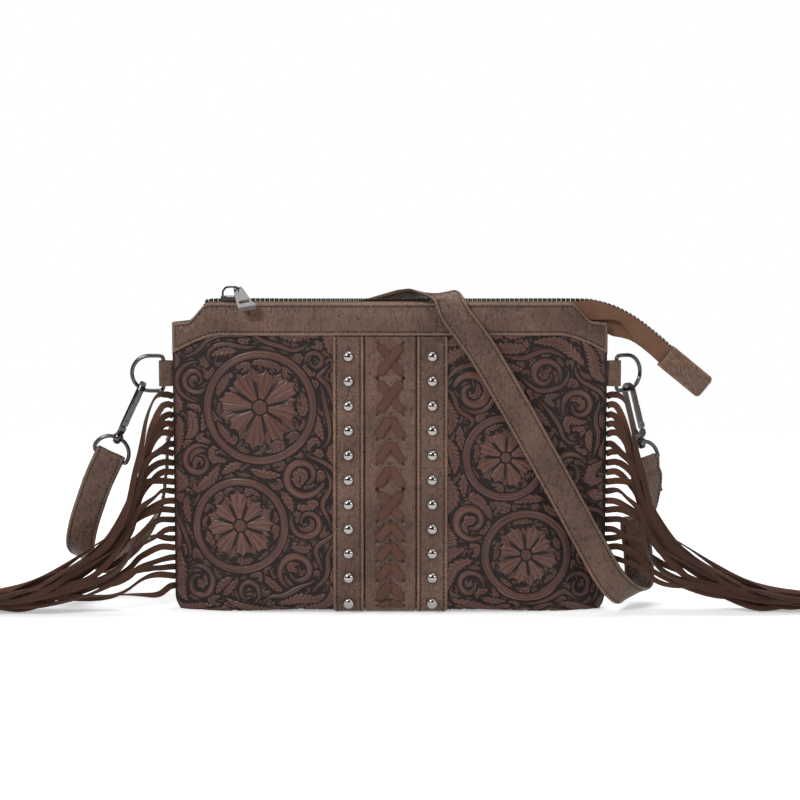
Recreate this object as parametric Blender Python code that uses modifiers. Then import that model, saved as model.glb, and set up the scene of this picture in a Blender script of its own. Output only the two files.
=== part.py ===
"""Crossbody clutch with tooled panels, a studded and laced centre, side fringes and a strap on two hooks.

Metres, +Z up. X runs along the bag, the front faces -Y, and the origin is under the middle of the bag.
"""

from math import ceil, cos, floor, pi, radians, sin

import bmesh
import bpy
import numpy as np
from mathutils import Matrix, Vector
from mathutils.geometry import delaunay_2d_cdt

COLLECTION = "fringed_bag"
GAP = 0.0003

# Body of the bag
BAG_WIDTH = 0.280
BAG_HEIGHT = 0.200
BASE_DEPTH = 0.037
TOP_DEPTH = 0.0145
BELLY = 0.0015
SEAM_DEPTH = 0.0052
PILLOW_POWER = 4
BASE_RADIUS = 0.016
BASE_FLAT = 0.010
SEAM_SHIFT = 0.006
BEND_POWER = 0.75
CORNER_PULL = 0.0035
CORNER_REACH = 0.010
SKIN = 0.0016
BAND = 0.0016

# Lattice on the skin
COLUMNS = 9
INNER_COLUMNS = 5
ROW_PITCH = 0.031
BEND_ROWS = 5

# Yokes
YOKE_DEPTH = 0.0214
YOKE_TUCK = 0.009
YOKE_FLARE = 0.012
SHOULDER_STEP = 0.012
SHOULDER_START = 0.0245
SHOULDER_RUN = 0.015
YOKE_EDGE = 0.0022
YOKE_FIELD = 0.0003

# Centre strips and lacing
STRIP_WIDTH = 0.0202
LACE_WIDTH = 0.0330
CENTRE_SHIFT = 0.0003
STRIP_EDGE = 0.0030
LACE_STRAND = 0.0056
LACE_THICKNESS = 0.0011
LACE_COLUMN = 0.0085
LACE_ROWS = 10
LACE_TOP = 0.0035
STUD_DIAMETER = 0.0070
STUD_RISE = 0.0028
STUD_COUNT = 11
STUD_FIRST = 0.0130
STUD_FACETS = 8

# Tooled ornament
RELIEF = 0.0009
RELIEF_BEVEL = 0.0009
RING_BAND = 0.0030
PETALS = 5
RING_POINTS = 16

# Zip
CHAIN_WIDTH = 0.0044
CHAIN_NECK = 0.0032
CHAIN_HEIGHT = 0.0024
CHAIN_RISE = 0.0014
TOOTH_PITCH = 0.0042
TAPE_THICKNESS = 0.0006
TAPE_DROP = 0.0012
ZIP_START_IN = 0.0245
ZIP_LEAVE_IN = 0.0220
TAIL_LENGTH = 0.0715
TAIL_FALL = 0.0374
TAIL_TAPE = 0.0125
TAIL_CURVE = [(0, 0), (0.204, 0.03), (0.404, 0.15), (0.594, 0.36), (0.793, 0.66), (0.892, 0.83), (1, 1)]
SLIDER_LENGTH = 0.0130
SLIDER_WIDTH = 0.0086
SLIDER_WALL = 0.0011
SLIDER_IN = 0.0380
SLIDER_SHOULDER = 0.0008
BRIDGE_RISE = 0.0058
BRIDGE_WIRE = 0.0014
PULL_LENGTH = 0.0245
PULL_TOP = 0.0064
PULL_FOOT = 0.0118
PULL_THICKNESS = 0.0012
PULL_SOLE = 0.00288
PULL_EYE = (0.0048, 0.0024)
PULL_RIM = 0.0013
PULL_WINDOW = 0.0068
PULL_FALL = 28
PULL_DRIFT = 0.0075
END_TAB_LENGTH = 0.0340
END_TAB_WIDTH = 0.0160
END_TAB_WALL = 0.0016
END_TAB_ENTRY = 0.0100
END_TAB_FOLD = 0.0010
END_TAB_WEDGE = 0.0035

# Side tabs, rings and hooks
TAB_DROP = 0.0460
TAB_HEIGHT = 0.0166
TAB_REACH = 0.0090
TAB_WALL = 0.0014
TAB_ROOT = 0.0060
WIRE = 0.0026
RING_RADIUS = 0.0113
RING_BAR = 0.0090
JAW = 0.0070
HOOK_BAR = 0.0022
HOOK_BREADTH = 0.0036
HOOK_LENGTH = 0.0380
GATE_FOOT = 0.0046
GATE_LENGTH = 0.0180
GATE_TONGUE = 0.0014
PIN_WIRE = 0.0010
NECK_WIRE = 0.0026
NECK_HEAD = 0.0050
BOSS_LENGTH = 0.0040
BOSS_DIAMETER = 0.0066
LOOP_HALF = 0.0116
LOOP_RISE = 0.0134
HOLD = 0.0012

# Strap
STRAP_WIDTH = 0.0195
STRAP_THICKNESS = 0.0020
STRAP_FOLD = 0.0220
STRAP_STEP = 0.0125

# Fringe
STRAND_PITCH = 0.0062
STRAND_WIDTH = 0.0050
STRAND_THICKNESS = 0.0009
STRAND_LENGTH = 0.215
FRINGE_DROP = 0.0580
FRINGE_STOP_LEFT = 0.0080
FRINGE_STOP_RIGHT = 0.0280
HEADER_DEPTH = 0.0080
HEADER_THICKNESS = 0.0014
LANE_PITCH = 0.0012
LANE_RUN = 0.014
STRAND_SECTIONS = 7
LANES_LEFT = -0.0152
LANES_RIGHT = -0.0122
REACH_LEFT = 0.013
REACH_RIGHT = 0.012

# Lining
LINING = 0.0010
LINING_EASE = 0.0009
LINING_DROP = 0.0080

HALF = BAG_WIDTH / 2
STRAIGHT = BAG_HEIGHT - BASE_RADIUS
BEND_LENGTH = 1.6 * BASE_RADIUS
FLAT_RUN = BASE_FLAT + SEAM_SHIFT
SEAM_V = STRAIGHT + BEND_LENGTH + FLAT_RUN
STACK = GAP + BAND
LACE_LEFT = CENTRE_SHIFT - LACE_WIDTH / 2
LACE_RIGHT = CENTRE_SHIFT + LACE_WIDTH / 2
STRIP_INNER = LACE_WIDTH / 2 + GAP
STRIP_OUTER = STRIP_INNER + STRIP_WIDTH
CHAIN_Z = BAG_HEIGHT + CHAIN_RISE
TAB_Z = BAG_HEIGHT - TAB_DROP
JAW_SIDE = (JAW + HOOK_BAR) / 2
ZIP_START = HALF - ZIP_START_IN
ZIP_LEAVE = HALF - ZIP_LEAVE_IN
SLIDER_PLACE = HALF - SLIDER_IN

COLOURS = {
    "smooth_leather": ((0.13, 0.070, 0.045), 0.45, 0.0),
    "tooled_leather": ((0.085, 0.036, 0.027), 0.40, 0.0),
    "suede": ((0.075, 0.030, 0.017), 0.90, 0.0),
    "gunmetal": ((0.10, 0.095, 0.09), 0.25, 1.0),
    "nickel": ((0.42, 0.40, 0.39), 0.25, 1.0),
    "zip_tape": ((0.10, 0.040, 0.020), 0.85, 0.0),
    "zip_metal": ((0.02, 0.018, 0.018), 0.35, 1.0),
    "lining_cloth": ((0.05, 0.035, 0.025), 0.90, 0.0),
}


def clear_scene():
    for item in list(bpy.data.objects):
        bpy.data.objects.remove(item)


def new_collection(name):
    made = bpy.data.collections.new(name)
    bpy.context.scene.collection.children.link(made)
    return made


def material(slot):
    found = bpy.data.materials.get(slot)
    if found:
        return found
    colour, roughness, metallic = COLOURS[slot]
    made = bpy.data.materials.new(slot)
    made.use_nodes = True
    shader = made.node_tree.nodes["Principled BSDF"]
    shader.inputs["Base Color"].default_value = (*colour, 1)
    shader.inputs["Roughness"].default_value = roughness
    shader.inputs["Metallic"].default_value = metallic
    return made


def own_material(name, slot):
    """Each piece has a material of its own, made from its finish."""
    made = material(slot).copy()
    made.name = name + "_finish"
    return made


def add_object(name, data, slot):
    item = bpy.data.objects.new(name, data)
    parts.objects.link(item)
    item.data.materials.append(own_material(name, slot))
    return item


def closed_mesh(name, points, faces):
    """A mesh whose faces all point out of the body that they close."""
    data = bpy.data.meshes.new(name)
    work = bmesh.new()
    corners = [work.verts.new(point) for point in points]
    for face in faces:
        work.faces.new([corners[index] for index in face])
    bmesh.ops.recalc_face_normals(work, faces=work.faces[:])
    work.to_mesh(data)
    work.free()
    return data


def piece(name, points, faces, slot, round_angle=None):
    item = add_object(name, closed_mesh(name, points, faces), slot)
    if round_angle:
        item.data.shade_smooth()
        item.data.set_sharp_from_angle(angle=radians(round_angle))
    return item


def loft_faces(rings, count):
    faces = []
    for ring in range(rings - 1):
        here, there = ring * count, (ring + 1) * count
        for corner in range(count):
            following = (corner + 1) % count
            faces.append((here + corner, here + following, there + following, there + corner))
    return faces + [tuple(range(count)), tuple(range((rings - 1) * count, rings * count))]


def loft(name, rings, slot, round_angle=None):
    points = [point for ring in rings for point in ring]
    return piece(name, points, loft_faces(len(rings), len(rings[0])), slot, round_angle)


def turned(name, profile, slot, facets):
    """A profile of (radius, height) pairs, from the top down, turned about its own Z axis."""
    data = bpy.data.meshes.new(name)
    points = [(radius, 0, height) for radius, height in profile]
    data.from_pydata(points, [(index, index + 1) for index in range(len(points) - 1)], [])
    item = add_object(name, data, slot)
    screw = item.modifiers.new("turn", "SCREW")
    screw.steps = facets
    screw.render_steps = facets
    screw.use_merge_vertices = True
    screw.merge_threshold = 0.00001
    return item


def evaluated_mesh(item):
    """The mesh of an object with its modifiers, or of a curve, with its caps welded."""
    graph = bpy.context.evaluated_depsgraph_get()
    data = bpy.data.meshes.new_from_object(item.evaluated_get(graph))
    work = bmesh.new()
    work.from_mesh(data)
    bmesh.ops.remove_doubles(work, verts=work.verts[:], dist=0.000005)
    bmesh.ops.recalc_face_normals(work, faces=work.faces[:])
    work.to_mesh(data)
    work.free()
    return data


def cutter(name, item):
    """Moves an object to the cutters and hides it."""
    item.name = name
    parts.objects.unlink(item)
    cutters.objects.link(item)
    item.hide_render = True
    item.display_type = "WIRE"
    return item


def combine(item, other, operation):
    joined = item.modifiers.new(operation.lower(), "BOOLEAN")
    joined.operation = operation
    joined.solver = "EXACT"
    joined.object = other


def rod(name, start, end, diameter, facets, slot):
    """A plain round bar between two points."""
    bpy.ops.mesh.primitive_cylinder_add(vertices=facets, radius=diameter / 2, depth=(end - start).length)
    item = bpy.context.object
    for owner in list(item.users_collection):
        owner.objects.unlink(item)
    parts.objects.link(item)
    item.name = name
    item.location = (start + end) / 2
    item.rotation_euler = (end - start).to_track_quat("Z", "Y").to_euler()
    item.data.materials.append(own_material(name, slot))
    return item


def block(name, frame, low, high, slot):
    """A box between two corners given in a piece's own frame."""
    bpy.ops.mesh.primitive_cube_add(size=1)
    item = bpy.context.object
    for owner in list(item.users_collection):
        owner.objects.unlink(item)
    parts.objects.link(item)
    item.name = name
    low, high = Vector(low), Vector(high)
    size = high - low
    item.data.transform(Matrix.Translation((low + high) / 2) @ Matrix.Diagonal((*size, 1)))
    item.matrix_world = frame
    item.data.materials.append(own_material(name, slot))
    return item


def curve_through(points, step):
    """Points about one step apart along a smooth curve through the given tuples of numbers."""
    given = np.array(points, dtype=float)
    padded = np.vstack([2 * given[0] - given[1], given, 2 * given[-1] - given[-2]])
    found = []
    for index in range(1, len(padded) - 2):
        a, b, c, d = padded[index - 1 : index + 3]
        pieces = max(1, ceil(np.linalg.norm((c - b)[:3]) / step))
        for part in range(pieces):
            t = part / pieces
            found.append(
                0.5 * (2 * b + (c - a) * t + (2 * a - 5 * b + 4 * c - d) * t**2 + (3 * b - a - 3 * c + d) * t**3)
            )
    found.append(given[-1])
    return np.array(found)


def smooth(value):
    held = min(max(value, 0.0), 1.0)
    return held * held * (3 - 2 * held)


def swell(u):
    return 1 - min(abs(u) / HALF, 1.0) ** PILLOW_POWER


def half_depth(u, z):
    """Distance from the bag's middle plane to its outer skin."""
    rise = min(max((z - BASE_RADIUS) / STRAIGHT, 0.0), 1.0)
    middle = (BASE_DEPTH + (TOP_DEPTH - BASE_DEPTH) * rise) / 2 + BELLY * sin(pi * rise)
    return SEAM_DEPTH / 2 + (middle - SEAM_DEPTH / 2) * swell(u)


def skin_point(u, v):
    """The front skin at width u and at drop v from the top edge, round the bottom to the seam."""
    u, v = float(u), float(v)
    if v <= STRAIGHT:
        y, z = -half_depth(u, BAG_HEIGHT - v), BAG_HEIGHT - v
    else:
        depth = half_depth(u, BASE_RADIUS)
        flat = min(BASE_FLAT, 0.6 * depth)
        turn = (v - STRAIGHT) / BEND_LENGTH
        if turn < 1:
            y = -flat - (depth - flat) * cos(turn * pi / 2) ** BEND_POWER
            z = BASE_RADIUS * (1 - sin(turn * pi / 2) ** BEND_POWER)
        else:
            y = -flat + (flat + SEAM_SHIFT * swell(u)) * (v - STRAIGHT - BEND_LENGTH) / FLAT_RUN
            z = 0.0
    lift = STACK * (1 - smooth((abs(u) / HALF - 0.4) / 0.45)) * max(0.0, 1 - z / (2 * BASE_RADIUS)) ** 2
    pull = CORNER_PULL * max(0.0, 1 - z / CORNER_REACH) ** 2 * u / HALF
    return Vector((u - pull, y, z + lift))


def front(u, v, h):
    """A point at height h over the front skin; the bag stands on the floor at Z = 0."""
    nudge = 0.00002
    across = skin_point(u + nudge, v) - skin_point(u - nudge, v)
    down = skin_point(u, v + nudge) - skin_point(u, v - nudge)
    point = skin_point(u, v) + down.cross(across).normalized() * float(h)
    point.z = max(point.z, 0.0)
    return point


def back(u, v, h):
    point = back_skin(u, v, h)
    point.z = max(point.z, 0.0)
    return point


def back_skin(u, v, h):
    """The back is the front mirrored, but stops short of the seam, which lies behind the middle."""
    reach = min(v, STRAIGHT + BEND_LENGTH)
    point = front(u, reach, h)
    point.y = -point.y
    if v > reach:
        depth = half_depth(u, BASE_RADIUS)
        flat = min(BASE_FLAT, 0.6 * depth)
        edge = SEAM_SHIFT * swell(u) + 2 * GAP
        share = (v - reach) / FLAT_RUN
        point.y = point.y + (edge - flat) * share
    return point


def columns(low, high, count=None):
    """Stations across the skin, closer together towards the side seams."""
    count = count or COLUMNS
    found = [HALF * sin(pi / 2 * step / count) for step in range(-count, count + 1)]
    inner = [u for u in found if low + 0.002 < u < high - 0.002]
    return [low, *inner, high]


def rows(low, high, pitch=None):
    """Stations down the skin, closer together round the bottom bend."""
    pitch = pitch or ROW_PITCH
    upper = max(1, round(STRAIGHT / pitch))
    found = [STRAIGHT * step / upper for step in range(upper)]
    found += [STRAIGHT + BEND_LENGTH * step / BEND_ROWS for step in range(BEND_ROWS + 1)]
    inner = [v for v in found if low + 0.0015 < v < high - 0.0015]
    return [low, *inner, high]


def signed_depth(points, loop):
    """How far inside a closed outline each point lies, below zero outside it."""
    a, b = loop, np.roll(loop, -1, axis=0)
    edge = b - a
    offset = points[:, None] - a[None]
    share = np.clip((offset * edge).sum(2) / (edge**2).sum(1), 0, 1)
    distance = np.linalg.norm(offset - share[..., None] * edge, axis=2).min(1)
    above = (a[:, 1] > points[:, None, 1]) != (b[:, 1] > points[:, None, 1])
    rise = np.where(edge[:, 1] == 0, 1e-12, edge[:, 1])
    crossing = a[:, 0] + (points[:, None, 1] - a[:, 1]) * edge[:, 0] / rise
    inside = (above & (points[:, None, 0] < crossing)).sum(1) % 2 == 1
    return np.where(inside, distance, -distance)


def feature_depth(points, loops):
    depth = signed_depth(points, loops[0])
    for hole in loops[1:]:
        depth = np.minimum(depth, -signed_depth(points, hole))
    return depth


def raised(points, features, bevel):
    """Height of the ornament over each point, from features of (loops, height)."""
    height = np.zeros(len(points))
    for loops, top in features:
        share = np.clip(feature_depth(points, loops) / bevel, 0, 1)
        height = np.where(np.abs(share * top) > np.abs(height), share * top, height)
    return height


def inset(loop, distance):
    """The outline moved inwards by a distance."""
    edge = np.roll(loop, -1, axis=0) - loop
    edge /= np.maximum(np.linalg.norm(edge, axis=1), 1e-9)[:, None]
    along = edge + np.roll(edge, 1, axis=0)
    normal = np.stack([-along[:, 1], along[:, 0]], 1)
    normal /= np.maximum(np.linalg.norm(normal, axis=1), 1e-9)[:, None]
    moved = loop + normal * distance
    if signed_depth(moved, loop).mean() < 0:
        moved = loop - normal * distance
    return moved


def feature_lines(features, bevel):
    """The foot and the shoulder of each raised form, as closed lines."""
    lines = []
    for loops, _ in features:
        lines += [loops[0], inset(loops[0], bevel)]
        lines += [line for hole in loops[1:] for line in (hole, inset(hole, -bevel))]
    return lines


def triangles_within(outline, lines, inner):
    """Triangles of the region inside an outline, with the given lines as edges."""
    loops = [outline, *lines]
    edges, start = [], 0
    for loop in loops:
        count = len(loop)
        edges += [(start + index, start + (index + 1) % count) for index in range(count)]
        start += count
    points = [Vector(point * 1000) for loop in loops for point in loop]
    points += [Vector(point * 1000) for point in inner]
    found, _, faces, origin, _, _ = delaunay_2d_cdt(points, edges, [], 1, 1e-4)
    place = {source: index for index, sources in enumerate(origin) for source in sources}
    rim = [place[index] for index in range(len(outline))]
    return np.array([tuple(point) for point in found]) / 1000, faces, rim


def lattice(outline, us, vs, lines, margin):
    """Lattice points inside the outline that keep off its edge and off the lines."""
    points = np.array([(u, v) for u in us for v in vs])
    keep = signed_depth(points, outline) > margin
    for line in lines:
        keep &= np.abs(signed_depth(points, line)) > margin / 2
    return points[keep]


def plate(name, outline, place, under, over, features, bevel, slot):
    """A sheet on the skin between heights under and over, with raised forms on its outer side."""
    lines = feature_lines(features, bevel)
    low, high = outline.min(0), outline.max(0)
    fine = lattice(outline, columns(low[0], high[0]), rows(low[1], high[1]), lines, 0.0022)
    coarse_us = columns(low[0], high[0], INNER_COLUMNS)
    coarse = lattice(outline, coarse_us, rows(low[1], high[1], 0.040), [], 0.0022)
    top, top_faces, top_rim = triangles_within(outline, lines, fine)
    low_side, low_faces, low_rim = triangles_within(outline, [], coarse)
    heights = over + raised(top, features, bevel)
    points = [place(u, v, h) for (u, v), h in zip(top, heights)]
    points += [place(u, v, under) for u, v in low_side]
    faces = [tuple(face) for face in top_faces]
    faces += [tuple(index + len(top) for index in face) for face in low_faces]
    for index, corner in enumerate(top_rim):
        following = (index + 1) % len(top_rim)
        faces.append(
            (corner, top_rim[following], low_rim[following] + len(top), low_rim[index] + len(top))
        )
    return piece(name, points, faces, slot, 40)


def strip(name, low, high, stations, section, place, slot):
    """A long band on the skin: a section of (across, height) pairs carried down the stations."""
    rings = [[place(low + across * (high - low), v, h) for across, h in section] for v in stations]
    return loft(name, rings, slot, 40)


def circle(centre, radius, count):
    angles = np.arange(count) * 2 * pi / count
    return np.array(centre) + radius * np.stack([np.cos(angles), np.sin(angles)], 1)


def petal(centre, near, far, width, angle):
    """A rounded petal that widens away from the flower's centre, with a dimpled tip."""
    share = np.array([0, 0.35, 0.7, 0.93, 0.9, 0.93, 0.7, 0.35])
    side = np.array([0, 0.3, 0.5, 0.3, 0, -0.3, -0.5, -0.3])
    radial = near + (far - near) * share
    across = width * side
    x = radial * cos(angle) - across * sin(angle)
    y = radial * sin(angle) + across * cos(angle)
    return np.array(centre) + np.stack([x, y], 1)


def curl(centre, radius, start, sweep, width):
    """A comma-shaped scroll: a tapering band that winds inwards round its centre."""
    share = np.linspace(0, 1, 7)
    angle = radians(start) + radians(sweep) * share
    middle = radius * (1 - 0.62 * share)
    half = width / 2 * np.sin(pi * (0.10 + 0.82 * share)) ** 0.7
    ray = np.stack([np.cos(angle), np.sin(angle)], 1)
    outer = ray * (middle + half)[:, None]
    inner = ray * (middle - half)[:, None]
    return np.array(centre) + np.vstack([outer, inner[::-1]])


def leaf(centre, length, width, angle, bend):
    """A pointed leaf with a bent spine."""
    share = np.linspace(-0.5, 0.5, 5)
    half = width / 2 * np.cos(pi * share)
    spine = np.stack([length * share, bend * length * (0.25 - share**2)], 1)
    upper = spine + np.stack([0 * half, half], 1)
    lower = (spine - np.stack([0 * half, half], 1))[1:-1][::-1]
    turn = radians(angle)
    spin = np.array([[cos(turn), -sin(turn)], [sin(turn), cos(turn)]])
    return np.array(centre) + np.vstack([upper, lower]) @ spin.T


def flower(centre, radius, turn):
    forms = [([circle(centre, 0.20 * radius, 8)], RELIEF * 1.3)]
    for index in range(PETALS):
        angle = radians(turn) + index * 2 * pi / PETALS
        forms.append(([petal(centre, 0.30 * radius, radius, 0.95 * radius, angle)], RELIEF))
    return forms


def medallion(centre, radius):
    outer = circle(centre, radius, RING_POINTS)
    inner = circle(centre, radius - RING_BAND, RING_POINTS)
    return [([outer, inner], RELIEF)]


# Ornament on each tooled field: shares across and down the field, then sizes in metres and turns in degrees.
LEFT_FLOWERS = [(0.55, 0.235, 0.0325, 0.0225, 10), (0.41, 0.680, 0.0290, 0.0200, 40)]
RIGHT_FLOWERS = [(0.36, 0.42, 0.0250, 0.0175, 25), (0.50, 0.79, 0.0270, 0.0190, 60)]
LEFT_CURLS = [
    (0.83, 0.490, 0.0140, 20, 400, 0.0050),
    (0.86, 0.665, 0.0110, 200, -380, 0.0042),
    (0.79, 0.850, 0.0125, 120, 400, 0.0046),
    (0.13, 0.440, 0.0110, 300, -380, 0.0042),
    (0.11, 0.130, 0.0090, 30, 380, 0.0038),
    (0.13, 0.900, 0.0110, 240, 390, 0.0040),
    (0.46, 0.930, 0.0080, 60, -360, 0.0034),
    (0.91, 0.060, 0.0065, 180, 360, 0.0032),
]
RIGHT_CURLS = [
    (0.14, 0.175, 0.0125, 200, 400, 0.0060),
    (0.62, 0.110, 0.0105, 20, -380, 0.0042),
    (0.85, 0.230, 0.0110, 150, 390, 0.0042),
    (0.78, 0.480, 0.0130, 330, -400, 0.0046),
    (0.13, 0.660, 0.0120, 60, 400, 0.0052),
    (0.88, 0.690, 0.0090, 90, 380, 0.0038),
    (0.12, 0.900, 0.0090, 10, -380, 0.0038),
    (0.86, 0.910, 0.0085, 200, 380, 0.0036),
]
LEFT_LEAVES = [
    (0.94, 0.30, 0.018, 0.0060, 75, 0.3),
    (0.17, 0.27, 0.018, 0.0060, 100, -0.3),
    (0.58, 0.475, 0.020, 0.0055, 10, 0.3),
    (0.36, 0.465, 0.015, 0.0055, 155, 0.3),
    (0.72, 0.585, 0.015, 0.0055, 60, -0.3),
    (0.06, 0.62, 0.018, 0.0055, 85, 0.3),
    (0.72, 0.735, 0.014, 0.0050, 100, 0.3),
    (0.31, 0.03, 0.017, 0.0050, 170, 0.3),
    (0.63, 0.895, 0.015, 0.0050, 40, 0.3),
    (0.30, 0.905, 0.014, 0.0050, 140, 0.3),
]
RIGHT_LEAVES = [
    (0.38, 0.075, 0.018, 0.0055, 15, 0.3),
    (0.40, 0.215, 0.020, 0.0060, 160, -0.3),
    (0.60, 0.265, 0.017, 0.0055, 50, 0.3),
    (0.07, 0.350, 0.017, 0.0055, 80, 0.3),
    (0.66, 0.385, 0.016, 0.0050, 110, -0.3),
    (0.09, 0.520, 0.016, 0.0055, 95, 0.3),
    (0.52, 0.585, 0.020, 0.0055, 175, 0.3),
    (0.93, 0.360, 0.015, 0.0050, 90, 0.3),
    (0.68, 0.620, 0.015, 0.0050, 30, 0.3),
    (0.28, 0.955, 0.016, 0.0050, 10, 0.3),
]


def tooling(low, high, flowers, curls, leaves):
    """All raised forms of one tooled field between two (u, v) corners."""
    low, high = np.array(low), np.array(high)
    span = high - low
    forms = []
    for across, down, ring, radius, turn in flowers:
        centre = low + span * (across, down)
        forms += medallion(centre, ring) + flower(centre, radius, turn)
    for across, down, *shape in curls:
        forms.append(([curl(low + span * (across, down), *shape)], RELIEF))
    for across, down, *shape in leaves:
        forms.append(([leaf(low + span * (across, down), *shape)], RELIEF))
    return forms


def shoulder(u):
    """Drop of the yoke's upper edge, which steps down towards the side seams."""
    out = abs(u) - (HALF - SHOULDER_START)
    slope = 0.10 * max(0.0, out - SHOULDER_RUN)
    return SHOULDER_STEP * smooth(out / SHOULDER_RUN) + slope


def yoke_foot(u):
    """Drop of the yoke's lower edge, which curves down at the sides."""
    out = max(0.0, abs(u) / HALF - 0.78) / 0.22
    return YOKE_DEPTH + YOKE_FLARE * out**1.5


def outline_between(us, upper, lower):
    """A closed outline along an upper edge, down one side and back along a lower edge."""
    right = us[-1]
    left = us[0]
    top = [(u, upper(u)) for u in us]
    bottom = [(u, lower(u)) for u in reversed(us)]
    side_right = [(right, v) for v in rows(upper(right), lower(right))[1:-1]]
    side_left = [(left, v) for v in reversed(rows(upper(left), lower(left))[1:-1])]
    return np.array(top + side_right + bottom + side_left)


def shoulder_columns(reach):
    """Columns of the yoke as far as a reach, with three more on each shoulder."""
    start = HALF - SHOULDER_START
    extra = [start, start + SHOULDER_RUN / 2, start + SHOULDER_RUN, reach]
    found = [u for u in columns(-reach, reach) if all(abs(abs(u) - e) > YOKE_EDGE for e in extra)]
    return sorted(found + extra + [-u for u in extra])


def make_yoke(name, place):
    """A turned-edge band with a rim round its sunk field."""
    outline = outline_between(shoulder_columns(HALF), shoulder, yoke_foot)
    inner = shoulder_columns(HALF - YOKE_EDGE)
    field = outline_between(inner, lambda u: shoulder(u) + YOKE_EDGE, lambda u: yoke_foot(u) - YOKE_EDGE)
    features = [([field], -YOKE_FIELD)]
    plate(name, outline, place, GAP, STACK, features, 0.0005, "smooth_leather")


def make_front_panel():
    outline = outline_between(columns(-HALF, HALF), panel_top, lambda u: SEAM_V)
    top = YOKE_DEPTH + 0.006
    foot = STRAIGHT + BEND_LENGTH * 0.55
    edge = 0.004
    inner = STRIP_OUTER + 0.0025
    left = tooling((edge - HALF, top), (CENTRE_SHIFT - inner, foot), LEFT_FLOWERS, LEFT_CURLS, LEFT_LEAVES)
    right = tooling((CENTRE_SHIFT + inner, top), (HALF - edge, foot), RIGHT_FLOWERS, RIGHT_CURLS, RIGHT_LEAVES)
    plate("front_panel", outline, front, -SKIN, 0.0, left + right, RELIEF_BEVEL, "tooled_leather")


def panel_top(u):
    return max(yoke_foot(u) - YOKE_TUCK, shoulder(u) + 0.002)


def make_back_panel():
    outline = outline_between(columns(-HALF, HALF), panel_top, lambda u: SEAM_V)
    plate("back_panel", outline, back, -SKIN, 0.0, [], RELIEF_BEVEL, "smooth_leather")


def strip_section():
    """Half-raised edges with a sunk field, as turned and stitched leather has."""
    edge = STRIP_EDGE / STRIP_WIDTH
    rim = 0.25 * edge
    field = STACK - YOKE_FIELD
    half = [(0, GAP), (0, STACK - 0.0005), (rim, STACK), (edge, STACK), (1.25 * edge, field)]
    return half + [(1 - across, h) for across, h in reversed(half)]


def strip_sides(side):
    """Left and right edge of one stud strip."""
    near, far = side * STRIP_INNER + CENTRE_SHIFT, side * STRIP_OUTER + CENTRE_SHIFT
    return min(near, far), max(near, far)


def make_stud_strips():
    stations = rows(YOKE_DEPTH + GAP, SEAM_V)
    for label, side in (("left", -1), ("right", 1)):
        low, high = strip_sides(side)
        strip(f"stud_strip_{label}", low, high, stations, strip_section(), front, "smooth_leather")


def stud_profile():
    """A low dome with a short straight rim and a flat seat."""
    radius = STUD_DIAMETER / 2
    dome = STUD_RISE * 0.8
    profile = [(0, STUD_RISE)]
    for step in (1, 2):
        angle = step * pi / 6
        profile.append((radius * sin(angle), STUD_RISE - dome * (1 - cos(angle))))
    return profile + [(radius, STUD_RISE - dome), (radius, 0), (0, 0)]


def make_studs():
    """Both rows of studs, from below the yoke to the bottom bend, each seated on its strip."""
    last = STRAIGHT + BEND_LENGTH * 0.32
    pitch = (last - YOKE_DEPTH - STUD_FIRST) / (STUD_COUNT - 1)
    for label, side in (("left", -1), ("right", 1)):
        low, high = strip_sides(side)
        u = (low + high) / 2
        for index in range(STUD_COUNT):
            v = YOKE_DEPTH + STUD_FIRST + index * pitch
            seat = front(u, v, STACK - YOKE_FIELD)
            out = (front(u, v, STACK) - seat).normalized()
            bend = max(0.0, v + STUD_DIAMETER / 2 - STRAIGHT) / (STUD_DIAMETER / 2)
            item = turned(f"stud_{label}_{index + 1:02d}", stud_profile(), "gunmetal", STUD_FACETS)
            item.location = seat + out * (GAP + 0.0006 * min(bend, 1.0))
            item.rotation_euler = out.to_track_quat("Z", "Y").to_euler()


def strand_outline(start, end, width):
    """A flat lace between two holes, a little narrower where it goes in."""
    start, end = np.array(start), np.array(end)
    along = end - start
    across = np.array([-along[1], along[0]]) / np.linalg.norm(along) * width / 2
    waist = start + 0.14 * along, end - 0.14 * along
    return np.array(
        [
            start + 0.6 * across,
            waist[0] + across,
            waist[1] + across,
            end + 0.6 * across,
            end - 0.6 * across,
            waist[1] - across,
            waist[0] - across,
            start - 0.6 * across,
        ]
    )


def lacing():
    """Crossed and pointed laces down the panel, in the order that the bag has them."""
    pitch = (STRAIGHT + 0.4 * BEND_LENGTH - YOKE_DEPTH - LACE_TOP) / LACE_ROWS
    forms = []
    for row in range(LACE_ROWS):
        crossed = row in (0, 1, 5)
        upper = YOKE_DEPTH + LACE_TOP + row * pitch
        lower = upper + 0.86 * pitch
        for side in (-1, 1):
            foot = CENTRE_SHIFT + side * LACE_COLUMN
            head = CENTRE_SHIFT - side * (0.9 * LACE_COLUMN if crossed else 0.06 * LACE_COLUMN)
            strand = strand_outline((foot, lower), (head, upper), LACE_STRAND)
            forms.append(([strand], LACE_THICKNESS))
    return forms


def make_lace_panel():
    stations = rows(YOKE_DEPTH + GAP, SEAM_V)
    left = [(LACE_LEFT, v) for v in reversed(stations[1:-1])]
    right = [(LACE_RIGHT, v) for v in stations[1:-1]]
    across = [LACE_LEFT, CENTRE_SHIFT, LACE_RIGHT]
    top = [(u, stations[0]) for u in across]
    foot = [(u, stations[-1]) for u in reversed(across)]
    outline = np.array(top + right + foot + left)
    plate("lace_panel", outline, front, GAP, STACK, lacing(), 0.0005, "smooth_leather")


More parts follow.
